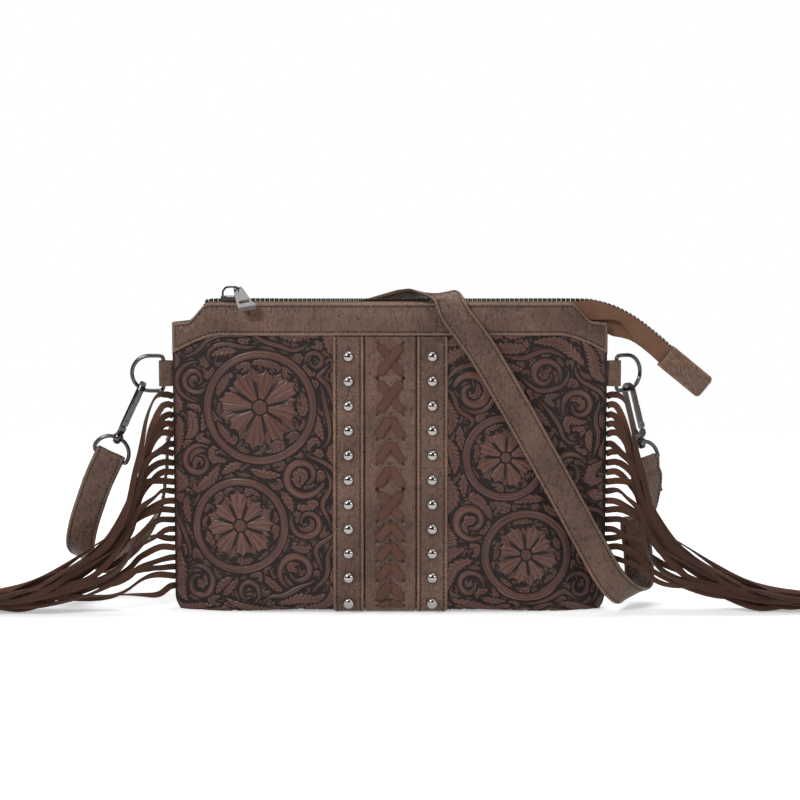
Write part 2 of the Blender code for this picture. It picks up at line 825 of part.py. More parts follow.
def make_lining():
    """An open inner bag that hangs just inside the panels, sewn in under the yokes."""
    depth = SKIN + GAP + LINING_EASE
    us = columns(0.045 - HALF, HALF - 0.045, 5)
    us[0], us[-1] = 0.012 - HALF, HALF - 0.012
    vs = rows(LINING_DROP + YOKE_TUCK, STRAIGHT, 0.040)
    points, faces = lining_surface(us, vs, depth)
    piece("lining", points, faces, "lining_cloth", 50)


def lining_ring(us, v, depth):
    """A closed ring round the inner bag at one drop, along the front and back along the back."""
    ring = []
    for place, sign, order in ((front, -1, us), (back, 1, us[::-1])):
        for u in order:
            point = place(u, v, 0.0)
            point.y -= sign * min(depth, 0.8 * abs(point.y))
            ring.append(point)
    return ring


def lining_surface(us, vs, depth):
    """Outer skin down, inner skin up, joined at the mouth, with a floor in each."""
    outer = [lining_ring(us, v, depth) for v in vs]
    inner = [lining_ring([u * 0.985 for u in us], v, depth + LINING) for v in vs]
    for ring in inner:
        for point in ring:
            point.z += LINING if ring is inner[-1] else 0.0
    rings = outer[::-1] + inner
    count = len(rings[0])
    points = [point for ring in rings for point in ring]
    faces = loft_faces(len(rings), count)[:-2]
    half = count // 2
    for start in (0, (len(rings) - 1) * count):
        for index in range(half - 1):
            far = count - 1 - index
            faces.append((start + index, start + index + 1, start + far - 1, start + far))
    return points, faces


def zip_route():
    """Points along the teeth, from the left end over the top of the bag and down the free tail."""
    tail = [(ZIP_LEAVE + TAIL_LENGTH * share, CHAIN_Z - TAIL_FALL * drop) for share, drop in TAIL_CURVE]
    points = [(-ZIP_START - 0.004, 0, CHAIN_Z - 0.0022), (-ZIP_START + 0.004, 0, CHAIN_Z)]
    points += [(x, 0, CHAIN_Z) for x in (-0.06, 0.0, 0.06)]
    return points + [(x, 0, z) for x, z in tail]


def zip_frames(step):
    """Centre, tangent and downward normal at stations along the teeth."""
    points = curve_through(zip_route(), step)
    frames = []
    for index, point in enumerate(points):
        ahead = points[min(index + 1, len(points) - 1)]
        behind = points[max(index - 1, 0)]
        tangent = Vector(ahead - behind).normalized()
        frames.append((Vector(point), tangent, Vector((tangent.z, 0, -tangent.x))))
    return frames


def make_zip_chain():
    """One bar, waisted between the teeth."""
    rings = []
    for index, (centre, _, down) in enumerate(zip_frames(TOOTH_PITCH / 2)):
        half = (CHAIN_WIDTH if index % 2 else CHAIN_NECK) / 2
        rise = down * (CHAIN_HEIGHT / 2 if index % 2 else CHAIN_HEIGHT * 0.36)
        across = Vector((0, half, 0))
        rings.append([centre - across - rise, centre + across - rise, centre + across + rise, centre - across + rise])
    loft("zip_chain", rings, "zip_metal")


def tape_section(centre, down, side):
    """Inner and outer edge of a tape: level under the yoke on the bag, hanging beside the teeth on the tail."""
    free = smooth((centre.x - ZIP_LEAVE + 0.004) / 0.016)
    inner_level = centre + Vector((0, side * (CHAIN_WIDTH / 2 + GAP), -TAPE_DROP))
    edge = half_depth(centre.x, BAG_HEIGHT)
    outer_level = Vector((centre.x, side * edge, BAG_HEIGHT - 0.0012))
    below = CHAIN_HEIGHT / 2 + GAP + TAPE_THICKNESS / 2
    beside = side * (TAPE_THICKNESS / 2 + GAP)
    inner_free = centre + down * below + Vector((0, beside, 0))
    outer_free = inner_free + down * TAIL_TAPE + Vector((0, side * 0.0002, 0))
    return inner_level.lerp(inner_free, free), outer_level.lerp(outer_free, free)


def make_zip_tapes():
    for label, side in (("front", -1), ("back", 1)):
        rings = []
        for centre, tangent, down in zip_frames(0.0105):
            inner, outer = tape_section(centre, down, side)
            normal = tangent.cross(outer - inner).normalized() * TAPE_THICKNESS / 2
            rings.append([inner - normal, outer - normal, outer + normal, inner + normal])
        loft(f"zip_tape_{label}", rings, "zip_tape")


def make_zip_end_tab():
    """A folded leather tab that holds the tail's end between its two layers."""
    frames = zip_frames(0.0105)
    centre, tangent, down = frames[-1]
    frame = Matrix((tangent, Vector((0, 1, 0)), -down)).transposed().to_4x4()
    drop = (TAIL_TAPE + CHAIN_HEIGHT) / 2
    frame.translation = centre + down * (drop - CHAIN_HEIGHT / 2) - tangent * END_TAB_ENTRY
    hollow = CHAIN_WIDTH / 2 + GAP
    outer = hollow + END_TAB_WALL
    tip = END_TAB_LENGTH
    fold = outer + END_TAB_FOLD
    profile = [(0, -outer), (tip - fold, -outer), (tip - 0.4 * fold, -0.72 * outer), (tip, 0)]
    profile += [(x, -y) for x, y in reversed(profile[:-1])]
    mouth = END_TAB_ENTRY + 0.002
    crease = mouth + END_TAB_WEDGE
    profile += [(0, hollow), (mouth, hollow), (crease, 0.0004), (crease, -0.0004), (mouth, -hollow), (0, -hollow)]
    half = END_TAB_WIDTH / 2
    rings = [[frame @ Vector((x, y, height)) for x, y in profile] for height in (-half, half)]
    loft("zip_end_tab", rings, "smooth_leather")


def make_slider():
    """A saddle over the teeth with a bridge for the pull; it stands at the left end when the zip is closed."""
    x0 = -SLIDER_PLACE
    foot = CHAIN_Z - TAPE_DROP + TAPE_THICKNESS / 2 + GAP
    roof = CHAIN_Z + CHAIN_HEIGHT / 2 + GAP
    inner = CHAIN_WIDTH / 2 + GAP
    rings = []
    for share, width in ((-0.5, 0.72), (-0.2, 1.0), (0.3, 1.0), (0.5, 0.86)):
        half = max(SLIDER_WIDTH / 2 * width, inner + 0.0007)
        top = roof + SLIDER_WALL
        cut, brow = half - SLIDER_SHOULDER, top - 0.6 * SLIDER_SHOULDER
        section = [(-half, foot), (-half, brow), (-cut, top), (cut, top), (half, brow), (half, foot)]
        section += [(inner, foot), (inner, roof), (-inner, roof), (-inner, foot)]
        rings.append([Vector((x0 + share * SLIDER_LENGTH, y, z)) for y, z in section])
    slider = loft("zip_slider", rings, "gunmetal")
    bridge = cutter("slider_bridge", bridge_arch(x0, roof + SLIDER_WALL))
    combine(slider, bridge, "UNION")


def bridge_legs():
    """X of the bridge's left and right leg."""
    return -SLIDER_PLACE - 0.42 * SLIDER_LENGTH, -SLIDER_PLACE + 0.36 * SLIDER_LENGTH


def bridge_arch(x0, deck):
    left, right = bridge_legs()
    top = deck + BRIDGE_RISE
    sunk = deck - SLIDER_WALL * 0.5
    path = [(left, sunk), (left, deck + 0.5 * BRIDGE_RISE), (left + 0.0016, top - 0.0007), (left + 0.0035, top)]
    path += [(right - 0.0022, top), (right - 0.0006, top - 0.0008), (right, deck + 0.6 * BRIDGE_RISE), (right, sunk)]
    return wire("bridge", [Vector((x, 0, z)) for x, z in path], BRIDGE_WIRE, "gunmetal")


def wire(name, points, diameter, slot, cyclic=False, resolution=1):
    """A round wire as a mesh, with welded caps."""
    item = wire_curve(name, points, diameter, slot, cyclic, resolution)
    data = evaluated_mesh(item)
    place = item.matrix_world.copy()
    bpy.data.objects.remove(item)
    made = add_object(name, data, slot)
    made.matrix_world = place
    return made


def wire_curve(name, points, diameter, slot, cyclic=False, resolution=1):
    data = bpy.data.curves.new(name, "CURVE")
    data.dimensions = "3D"
    data.bevel_depth = diameter / 2
    data.bevel_resolution = resolution
    data.use_fill_caps = True
    line = data.splines.new("POLY")
    line.points.add(len(points) - 1)
    for spot, point in zip(line.points, points):
        spot.co = (*point, 1)
    line.use_cyclic_u = cyclic
    return add_object(name, data, slot)


def pull_place():
    """The bridge's right leg, half way up, where the pull hangs."""
    deck = CHAIN_Z + CHAIN_HEIGHT / 2 + GAP + SLIDER_WALL
    return Vector((bridge_legs()[1], 0, deck + 0.58 * BRIDGE_RISE))


def pull_section(frame, reach, width, top):
    half = PULL_THICKNESS / 2
    corners = ((-width / 2, -half), (width / 2, -half), (width / 2, top), (-width / 2, top))
    return [frame @ Vector((reach, y, z)) for y, z in corners]


def make_pull_tab():
    """A tapered plate with a window and a thick foot; its eye hangs on the bridge's leg."""
    fall = radians(PULL_FALL)
    along = Vector((PULL_DRIFT, -PULL_LENGTH * cos(fall), -PULL_LENGTH * sin(fall))).normalized()
    across = (Vector((1, 0, 0)) - along * along.x).normalized()
    frame = Matrix((along, across, along.cross(across))).transposed().to_4x4()
    frame.translation = pull_place()
    half = PULL_THICKNESS / 2
    rings = [pull_section(frame, -PULL_EYE[0] / 2 - PULL_RIM, 0.8 * PULL_TOP, half)]
    for share, top in ((0, half), (0.78, half), (0.84, PULL_SOLE - half), (1, PULL_SOLE - half)):
        width = PULL_TOP + (PULL_FOOT - PULL_TOP) * share
        rings.append(pull_section(frame, share * PULL_LENGTH, width, top))
    item = loft("pull_tab", rings, "nickel")
    deep = 4 * PULL_THICKNESS
    eye = Vector((*PULL_EYE, 0)) / 2
    hole = block("eye_cut", frame, (-eye.x, -eye.y, -deep), (eye.x, eye.y, deep), "nickel")
    low, high = (0.55 * PULL_LENGTH, -PULL_WINDOW / 2, -deep), (0.70 * PULL_LENGTH, PULL_WINDOW / 2, deep)
    window = block("window_cut", frame, low, high, "nickel")
    combine(item, cutter("pull_eye", hole), "DIFFERENCE")
    combine(item, cutter("pull_window", window), "DIFFERENCE")


class Side:
    """Frames of the ring, hook and loop on one side of the bag."""

    def __init__(self, label, sign, ring_turn, hang, cross, jaw_turn):
        self.label = label
        self.sign = sign
        self.bar = Vector((sign * (HALF + GAP + TAB_REACH - WIRE / 2 - GAP - TAB_WALL), 0, TAB_Z))
        turn = radians(ring_turn)
        self.out = Vector((sign * cos(turn), sin(turn), 0))
        angle = radians(cross)
        reach = RING_BAR + RING_RADIUS * sin(angle)
        self.crossing = self.bar + self.out * reach + Vector((0, 0, -RING_RADIUS * cos(angle)))
        self.up = Vector((-sign * hang[0], hang[1], hang[2])).normalized()
        wire_way = (self.out * cos(angle) + Vector((0, 0, 1)) * sin(angle)).normalized()
        plane = self.up.cross(wire_way).normalized()
        plane = plane if plane.y < 0 else -plane
        self.jaw = (Matrix.Rotation(radians(jaw_turn), 3, self.up) @ plane).normalized()
        self.flat = self.up.cross(self.jaw)
        inside = HOOK_LENGTH - HOOK_BAR - HOLD - WIRE / 2
        self.base = self.crossing - self.up * inside
        self.foot = self.base - self.up * (GAP + BOSS_LENGTH / 2)
        self.loop_bar = self.foot - self.up * LOOP_RISE
        level = self.out * sign
        self.across = (level - self.up * self.up.dot(level)).normalized()

    def hook_frame(self):
        frame = Matrix((self.jaw, self.flat, self.up)).transposed().to_4x4()
        frame.translation = self.base
        return frame

    def name(self, kind):
        return f"{kind}_{self.label}"


def make_side_tab(side):
    """A leather strip folded round the ring's bar, with its ends sewn into the side seam."""
    hole = WIRE / 2 + GAP
    outer = hole + TAB_WALL
    x_bar = side.bar.x
    root_half = SEAM_DEPTH / 2 - SKIN - GAP
    seam = side.sign * (HALF + GAP)
    root = side.sign * (HALF - TAB_ROOT)
    steps = 8
    arc = [(x_bar + side.sign * outer * cos(pi * (0.5 - k / steps)), -outer * sin(pi * (0.5 - k / steps)))
           for k in range(steps + 1)]
    path = [(root, -root_half), (seam, -root_half), *arc, (seam, root_half), (root, root_half)]
    rings = [[Vector((x, y, TAB_Z + level * TAB_HEIGHT / 2)) for x, y in path] for level in (-1, 1)]
    item = loft(side.name("side_tab"), rings, "smooth_leather", 40)
    reach = Vector((0, 0, TAB_HEIGHT))
    bore = rod("bore", side.bar - reach, side.bar + reach, 2 * hole, 12, "gunmetal")
    combine(item, cutter(side.name("tab_bore"), bore), "DIFFERENCE")


def make_ring(side):
    """A D-ring: a straight bar, short level runs and a half circle."""
    centre = side.bar + side.out * RING_BAR
    corner = 0.0025
    path = [side.bar + Vector((0, 0, RING_RADIUS - corner)), side.bar + side.out * corner + Vector((0, 0, RING_RADIUS))]
    steps = 12
    for k in range(steps + 1):
        angle = pi * (0.5 - k / steps)
        path.append(centre + side.out * RING_RADIUS * cos(angle) + Vector((0, 0, RING_RADIUS * sin(angle))))
    path += [side.bar + side.out * corner - Vector((0, 0, RING_RADIUS))]
    path += [side.bar - Vector((0, 0, RING_RADIUS - corner))]
    wire_curve(side.name("ring"), path, WIRE, "gunmetal", cyclic=True)


def hook_path():
    """(towards the gate, along the shank, thickness) from the nose over the top and down the spine."""
    top = HOOK_LENGTH - HOOK_BAR / 2
    centre = top - JAW_SIDE
    path = [(JAW_SIDE, GATE_FOOT + GATE_LENGTH + GAP, 1.0), (JAW_SIDE, centre - 0.002, 1.0)]
    for step in range(6):
        angle = pi * step / 5
        path.append((JAW_SIDE * cos(angle), centre + JAW_SIDE * sin(angle), 1.0))
    path += [(-JAW_SIDE, 0.012, 1.0), (-JAW_SIDE, 0.0062, 1.15), (-0.7 * JAW_SIDE, 0.0030, 1.5)]
    path += [(0, 0.0022, 1.9), (0.6 * JAW_SIDE, 0.0025, 1.65), (JAW_SIDE, GATE_FOOT - 0.0003, 1.6)]
    return path + [(JAW_SIDE, GATE_FOOT + 0.0017, 1.5)]


def make_hook(side):
    """A cast hook with a forked heel for the gate and a peened neck through the loop's boss."""
    frame = side.hook_frame()
    path = hook_path()
    rings = []
    for index, (g, d, thick) in enumerate(path):
        ahead = path[min(index + 1, len(path) - 1)]
        behind = path[max(index - 1, 0)]
        tangent = Vector((ahead[0] - behind[0], ahead[1] - behind[1])).normalized()
        normal = Vector((-tangent.y, tangent.x)) * HOOK_BAR * thick / 2
        half = HOOK_BREADTH / 2
        cut = 0.7
        section = [(1, -half * cut), (1, half * cut), (cut, half), (-cut, half)]
        section += [(-1, half * cut), (-1, -half * cut), (-cut, -half), (cut, -half)]
        rings.append([frame @ Vector((g + normal.x * n, b, d + normal.y * n)) for n, b in section])
    item = loft(side.name("hook"), rings, "gunmetal", 50)
    head = -GAP - BOSS_LENGTH - GAP
    neck = NECK_WIRE / 2
    wide = NECK_HEAD / 2
    profile = [(0, 0.0028), (neck + 0.0008, 0.0028), (neck + 0.0012, 0), (neck, 0), (neck, head), (wide, head)]
    profile += [(wide, head - 0.0009), (0.6 * wide, head - 0.0017), (0, head - 0.0017)]
    stem = turned("stem", profile, "gunmetal", 10)
    stem.matrix_world = frame
    combine(item, cutter(side.name("hook_neck"), stem), "UNION")
    tongue = GATE_TONGUE / 2 + GAP
    room = block("fork", frame, (JAW_SIDE - 0.0022, -tongue, GATE_FOOT - 0.0018), (0.02, tongue, GATE_FOOT + 0.004), "gunmetal")
    combine(item, cutter(side.name("hook_fork"), room), "DIFFERENCE")
    reach = HOOK_BREADTH
    low = frame @ Vector((JAW_SIDE, -reach, GATE_FOOT))
    high = frame @ Vector((JAW_SIDE, reach, GATE_FOOT))
    bore = rod("pin_bore", low, high, PIN_WIRE + 2 * GAP, 8, "gunmetal")
    combine(item, cutter(side.name("hook_pin_bore"), bore), "DIFFERENCE")


def make_gate(side):
    """A flat gate bar with a thumb step and a thin tongue on the pin."""
    frame = side.hook_frame()
    half = HOOK_BAR / 2
    wide = HOOK_BREADTH / 2 - 0.0001
    thin = GATE_TONGUE / 2
    start = GATE_FOOT
    stations = [
        (start - 0.0012, -0.0008, 0.0008, thin),
        (start - 0.0002, -0.0014, 0.0014, thin),
        (start + 0.0012, -0.0014, 0.0014, thin),
        (start + 0.0024, -0.0009, 0.0009, thin),
        (start + 0.0027, -half, half, wide),
        (start + 0.0045, -half, 1.7 * half, wide),
        (start + 0.0060, -half, 1.7 * half, wide),
        (start + 0.0066, -half, half, wide),
        (start + GATE_LENGTH, -half, half, wide),
    ]
    rings = []
    for d, low, high, breadth in stations:
        section = ((low, -breadth), (high, -breadth), (high, breadth), (low, breadth))
        rings.append([frame @ Vector((JAW_SIDE + g, b, d)) for g, b in section])
    item = loft(side.name("gate"), rings, "gunmetal")
    low = frame @ Vector((JAW_SIDE, -HOOK_BREADTH, GATE_FOOT))
    high = frame @ Vector((JAW_SIDE, HOOK_BREADTH, GATE_FOOT))
    bore = rod("gate_bore", low, high, PIN_WIRE + 2 * GAP, 8, "gunmetal")
    combine(item, cutter(side.name("gate_pin_bore"), bore), "DIFFERENCE")
    low = frame @ Vector((JAW_SIDE, -HOOK_BREADTH / 2, GATE_FOOT))
    high = frame @ Vector((JAW_SIDE, HOOK_BREADTH / 2, GATE_FOOT))
    rod(side.name("gate_pin"), low, high, PIN_WIRE, 8, "gunmetal")


def make_loop(side):
    """A D-shaped loop with a bored boss at its top and a straight bar in the strap's fold."""
    across, up = side.across, side.up
    corner = 0.0012
    path = [side.loop_bar - across * (LOOP_HALF - corner), side.loop_bar + across * (LOOP_HALF - corner)]
    steps = 10
    for k in range(steps + 1):
        angle = pi * k / steps
        lift = 0.0026 + (LOOP_RISE - 0.0026) * sin(angle)
        path.append(side.loop_bar + across * (LOOP_HALF * cos(angle)) + up * lift)
    item = wire(side.name("swivel_loop"), path, WIRE, "gunmetal", cyclic=True)
    boss = rod("boss", side.foot - up * BOSS_LENGTH / 2, side.foot + up * BOSS_LENGTH / 2, BOSS_DIAMETER, 12, "gunmetal")
    combine(item, cutter(side.name("loop_boss"), boss), "UNION")
    bore = rod("boss_bore", side.foot - up * BOSS_LENGTH, side.foot + up * BOSS_LENGTH, NECK_WIRE + 2 * GAP, 10, "gunmetal")
    combine(item, cutter(side.name("boss_bore"), bore), "DIFFERENCE")


def fold_points(side, reverse):
    """The strap's end, folded round the loop's bar with its tail behind; rows of position and width."""
    radius = WIRE / 2 + GAP + STRAP_THICKNESS / 2
    lay = (STRAP_THICKNESS + GAP + 0.0001) / 2
    back_way = side.up.cross(side.across)
    back_way = back_way if back_way.y > 0 else -back_way
    local = [(lay, -STRAP_FOLD), (lay, -STRAP_FOLD * 0.6), (lay, -0.0062), (0.92 * radius, -0.0020)]
    local += [(radius * cos(radians(a)), radius * sin(radians(a))) for a in (0, 36, 72, 108, 144, 180)]
    local += [(-0.92 * radius, -0.0020), (-lay, -0.0062), (-lay, -STRAP_FOLD * 0.6)]
    found = [side.loop_bar + back_way * n + side.up * a for n, a in local]
    rows_found = [(*point, *side.across) for point in found]
    return rows_found[::-1] if reverse else rows_found


def strap_route(left, right):
    """Rows of position and width direction, from the left end over the bag to the right end."""
    lb, rb = left.loop_bar, right.loop_bar
    crest = CHAIN_Z + CHAIN_HEIGHT / 2 + STRAP_THICKNESS / 2 + 0.0012

    def over(u, v, h, w):
        point = front(u * HALF, v, STACK + RELIEF + STRAP_THICKNESS / 2 + h)
        return (*point, *w)

    hang = [
        (lb.x - 0.0115, lb.y + 0.0015, lb.z - 0.026, 0.90, 0.00, -0.43),
        (lb.x - 0.0190, lb.y + 0.0070, lb.z - 0.047, 0.92, 0.05, -0.38),
        (lb.x - 0.0222, lb.y + 0.0130, lb.z - 0.063, 0.86, 0.05, -0.50),
        (lb.x - 0.0195, lb.y + 0.0220, lb.z - 0.073, 0.80, -0.10, -0.58),
        (lb.x - 0.0120, lb.y + 0.0330, lb.z - 0.077, 0.75, -0.40, -0.52),
        (lb.x - 0.0010, lb.y + 0.0430, lb.z - 0.073, 0.60, -0.72, -0.34),
        (lb.x + 0.0130, lb.y + 0.0490, lb.z - 0.063, 0.35, -0.92, -0.15),
        (lb.x + 0.0260, lb.y + 0.0500, lb.z - 0.043, 0.15, -0.98, 0.00),
        (lb.x + 0.0310, lb.y + 0.0480, lb.z - 0.015, 0.12, -0.99, 0.00),
        (lb.x + 0.0350, lb.y + 0.0440, lb.z + 0.012, 0.15, -0.97, -0.15),
    ]
    behind = [
        (-0.86 * HALF, 0.0370, 0.695 * BAG_HEIGHT, 0.30, -0.80, -0.50),
        (-0.62 * HALF, 0.0285, 0.805 * BAG_HEIGHT, 0.42, -0.35, -0.80),
        (-0.32 * HALF, 0.0215, 0.905 * BAG_HEIGHT, 0.50, -0.02, -0.86),
        (0.00 * HALF, 0.0160, crest - 0.0085, 0.66, 0.25, -0.70),
        (0.12 * HALF, 0.0090, crest - 0.0015, 0.78, 0.42, -0.35),
    ]
    top = [(0.205 * HALF, -0.0005, crest, 0.86, 0.50, 0.00), (0.26 * HALF, -0.0085, crest - 0.0015, 0.88, 0.38, 0.28)]
    face = [
        over(0.300, 0.0080, 0.0012, (0.90, 0.10, 0.43)),
        over(0.415, 0.0300, 0.0016, (0.89, 0.02, 0.45)),
        over(0.550, 0.0620, 0.0022, (0.89, 0.00, 0.45)),
        over(0.660, 0.0900, 0.0035, (0.89, 0.00, 0.45)),
        over(0.765, 0.1180, 0.0060, (0.89, 0.00, 0.45)),
    ]
    turn = [
        (0.885 * HALF, -0.0265, 0.0545, 0.88, 0.02, 0.46),
        (1.000 * HALF, -0.0260, 0.0270, 0.87, 0.06, 0.48),
        (1.085 * HALF, -0.0150, 0.0150, 0.87, 0.20, 0.44),
        (1.130 * HALF, 0.0030, 0.0140, 0.90, 0.22, 0.38),
        (1.150 * HALF, 0.0170, 0.0270, 0.95, 0.12, 0.25),
        (1.150 * HALF, 0.0225, 0.0460, 0.99, 0.05, 0.08),
    ]
    rise = [(rb.x + 0.0010, rb.y + 0.0070, rb.z - 0.0290, *right.across)]
    return [*fold_points(left, False), *hang, *behind, *top, *face, *turn, *rise, *fold_points(right, True)]


def make_strap(left, right):
    """One flat strap; each section stays square to its path."""
    rows_found = curve_through(strap_route(left, right), STRAP_STEP)
    centres = [Vector(row[:3]) for row in rows_found]
    rings = []
    for index, row in enumerate(rows_found):
        tangent = (centres[min(index + 1, len(centres) - 1)] - centres[max(index - 1, 0)]).normalized()
        wide = Vector(row[3:])
        wide = (wide - tangent * wide.dot(tangent)).normalized() * STRAP_WIDTH / 2
        thick = tangent.cross(wide).normalized() * STRAP_THICKNESS / 2
        centre = centres[index]
        rings.append([centre - wide - thick, centre + wide - thick, centre + wide + thick, centre - wide + thick])
    loft("strap", rings, "smooth_leather", 35)


def strand_path(height, lane, reach, floor_z, length):
    """One fringe strand, seen from the front: out of the seam, over and down to the floor."""
    out = reach + 0.010 * smooth((0.130 - height) / 0.060)
    points = [
        (0.0, 0.0, height),
        (0.45 * out, 0.0, height + 0.0008),
        (out, 0.0, 0.90 * height),
        (out + 0.006, 0.0, 0.68 * height + 0.002),
        (out + 0.019, 0.0, 0.42 * height + 0.004),
        (0.066, 0.0, 0.17 * height + 0.007),
        (0.110, 0.0, 0.05 * height + 0.004),
        (0.160, 0.0, 0.015 * height + floor_z),
        (0.235, 0.0, floor_z),
    ]
    fine = curve_through(points, 0.004)
    fine[:, 2] = np.maximum(fine[:, 2], floor_z)
    fine[:, 1] = [lane * smooth(x / LANE_RUN) for x in fine[:, 0]]
    run = np.concatenate([[0], np.cumsum(np.linalg.norm(np.diff(fine, axis=0), axis=1))])
    spots = length * (np.arange(STRAND_SECTIONS + 1) / STRAND_SECTIONS) ** 1.15
    return np.stack([np.interp(spots, run, fine[:, axis]) for axis in range(3)], 1)


def strand_rings(root, path, sign):
    """Sections of one strand after its root, broad side to the front."""
    rings = []
    for index in range(1, len(path)):
        here = path[index]
        ahead = path[min(index + 1, len(path) - 1)]
        tangent = Vector(ahead - path[index - 1]).normalized()
        broad = Vector((-tangent.z, 0, tangent.x)).normalized() * STRAND_WIDTH / 2
        thick = Vector((0, STRAND_THICKNESS / 2, 0))
        corners = [here_point(here, -broad - thick), here_point(here, -broad + thick)]
        corners += [here_point(here, broad + thick), here_point(here, broad - thick)]
        rings.append([Vector((root + sign * x, y, z)) for x, y, z in corners])
    return rings


def here_point(centre, offset):
    return (centre[0] + offset.x, centre[1] + offset.y, centre[2] + offset.z)


def make_fringe(label, sign, stop, lane_middle, reach):
    """A header band in the side seam with its strands, cut from one piece."""
    top = BAG_HEIGHT - FRINGE_DROP
    count = floor((top - stop) / STRAND_PITCH)
    half = HEADER_THICKNESS / 2
    inner, outer = sign * (HALF - HEADER_DEPTH), sign * (HALF + 0.0002)
    points, faces = [], []
    levels = []
    for index in range(count):
        middle = top - (index + 0.5) * STRAND_PITCH
        levels += [middle + STRAND_WIDTH / 2, middle - STRAND_WIDTH / 2]
    for z in levels:
        points += [Vector((inner, -half, z)), Vector((inner, half, z)), Vector((outer, half, z)), Vector((outer, -half, z))]
    for index in range(len(levels) - 1):
        a, b = 4 * index, 4 * index + 4
        faces += [(a, a + 1, b + 1, b), (a + 1, a + 2, b + 2, b + 1), (a + 3, a, b, b + 3)]
        if index % 2:
            faces.append((a + 2, a + 3, b + 3, b + 2))
    faces += [(0, 1, 2, 3), tuple(len(points) - 4 + corner for corner in range(4))]
    lanes = sorted(range(count), key=lambda strand: strand * 0.618 % 1)
    for index in range(count):
        middle = top - (index + 0.5) * STRAND_PITCH
        order = lanes.index(index)
        lane = lane_middle + (order - (count - 1) / 2) * LANE_PITCH
        floor_z = STRAND_WIDTH / 2 + 0.0004 + 0.0009 * ((index * 5) % 7)
        length = STRAND_LENGTH * (1 + 0.02 * sin(2.4 * index))
        path = strand_path(middle, lane, reach, floor_z, length)
        rings = strand_rings(outer, path, sign)
        root = [8 * index + 7, 8 * index + 6, 8 * index + 2, 8 * index + 3]
        start = len(points)
        points += [corner for ring in rings for corner in ring]
        chain = [root] + [[start + 4 * ring + corner for corner in range(4)] for ring in range(len(rings))]
        for near, far in zip(chain, chain[1:]):
            for corner in range(4):
                following = (corner + 1) % 4
                faces.append((near[corner], near[following], far[following], far[corner]))
        faces.append(tuple(chain[-1]))
    piece(f"fringe_{label}", points, faces, "suede")


clear_scene()
parts = new_collection(COLLECTION)
cutters = new_collection("cutters")

make_front_panel()
make_back_panel()
make_yoke("yoke_front", front)
make_yoke("yoke_back", back)
make_lining()
make_stud_strips()
make_lace_panel()
make_studs()
make_zip_chain()
make_zip_tapes()
make_zip_end_tab()
make_slider()
make_pull_tab()
SIDES = [
    Side("left", -1, 0, (0.43, 0.0, 0.903), 30, 12),
    Side("right", 1, 35, (0.24, 0.0, 0.97), 8, -6),
]
for each_side in SIDES:
    make_side_tab(each_side)
    make_ring(each_side)
    make_hook(each_side)
    make_gate(each_side)
    make_loop(each_side)
make_strap(*SIDES)
make_fringe("left", -1, FRINGE_STOP_LEFT, LANES_LEFT, REACH_LEFT)
make_fringe("right", 1, FRINGE_STOP_RIGHT, LANES_RIGHT, REACH_RIGHT)
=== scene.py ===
"""Dressed model of a crossbody clutch with tooled panels, studs, laces, side fringes and a strap.

Metres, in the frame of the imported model: X along the bag, front at -Y, Z up from the floor.
"""

import bmesh
import bpy
import numpy as np
from mathutils import Matrix, Vector


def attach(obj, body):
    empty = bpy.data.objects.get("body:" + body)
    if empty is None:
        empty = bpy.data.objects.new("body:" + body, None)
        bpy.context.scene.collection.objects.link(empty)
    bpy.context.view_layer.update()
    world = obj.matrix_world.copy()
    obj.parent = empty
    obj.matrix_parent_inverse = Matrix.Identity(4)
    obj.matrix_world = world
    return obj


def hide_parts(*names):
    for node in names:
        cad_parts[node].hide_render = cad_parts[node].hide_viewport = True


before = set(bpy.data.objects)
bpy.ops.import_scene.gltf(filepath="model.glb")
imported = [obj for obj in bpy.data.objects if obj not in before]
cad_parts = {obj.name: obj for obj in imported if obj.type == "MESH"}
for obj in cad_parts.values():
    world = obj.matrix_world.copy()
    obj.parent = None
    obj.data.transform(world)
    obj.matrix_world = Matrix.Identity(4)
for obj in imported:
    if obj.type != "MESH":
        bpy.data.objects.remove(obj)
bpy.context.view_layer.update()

# The view of the photograph: a long lens a little above the bag, on the middle of the picture.
VIEW_CENTRE = Vector((0.0065, 0, 0.1366))
VIEW_DISTANCE = 1.222
VIEW_RISE = np.radians(6)
camera = bpy.data.objects.new("camera", bpy.data.cameras.new("camera"))
bpy.context.collection.objects.link(camera)
camera.data.lens = 85
camera.data.sensor_width = 36
toward = Vector((0, np.cos(VIEW_RISE), -np.sin(VIEW_RISE)))
camera.location = VIEW_CENTRE - VIEW_DISTANCE * toward
camera.rotation_euler = toward.to_track_quat("-Z", "Y").to_euler()
bpy.context.scene.camera = camera
bpy.context.scene.view_settings.view_transform = "Standard"

# Bag body: both panels are cut wider than the finished bag, sewn to each other at the sides
# and folded under, so every flat piece on them lies on one curved skin.
WIDTH = 0.280
HALF = WIDTH / 2
HEIGHT = 0.200
BASE_DEPTH = 0.037
TOP_DEPTH = 0.0145
BELLY = 0.0015
SEAM_DEPTH = 0.0052
BASE_RADIUS = 0.016
BASE_FLAT = 0.010
SEAM_SHIFT = 0.006
BEND_POWER = 0.75
CORNER_PULL = 0.0035
CORNER_REACH = 0.010
GAP = 0.0003
LAYER = 0.0016
STACK = GAP + LAYER
STRAIGHT = HEIGHT - BASE_RADIUS
BEND = 1.6 * BASE_RADIUS
FLAT_RUN = BASE_FLAT + SEAM_SHIFT
SEAM = STRAIGHT + BEND + FLAT_RUN


def smooth(value):
    held = np.clip(value, 0.0, 1.0)
    return held * held * (3 - 2 * held)


def unit(rows):
    return rows / np.linalg.norm(rows, axis=-1, keepdims=True)


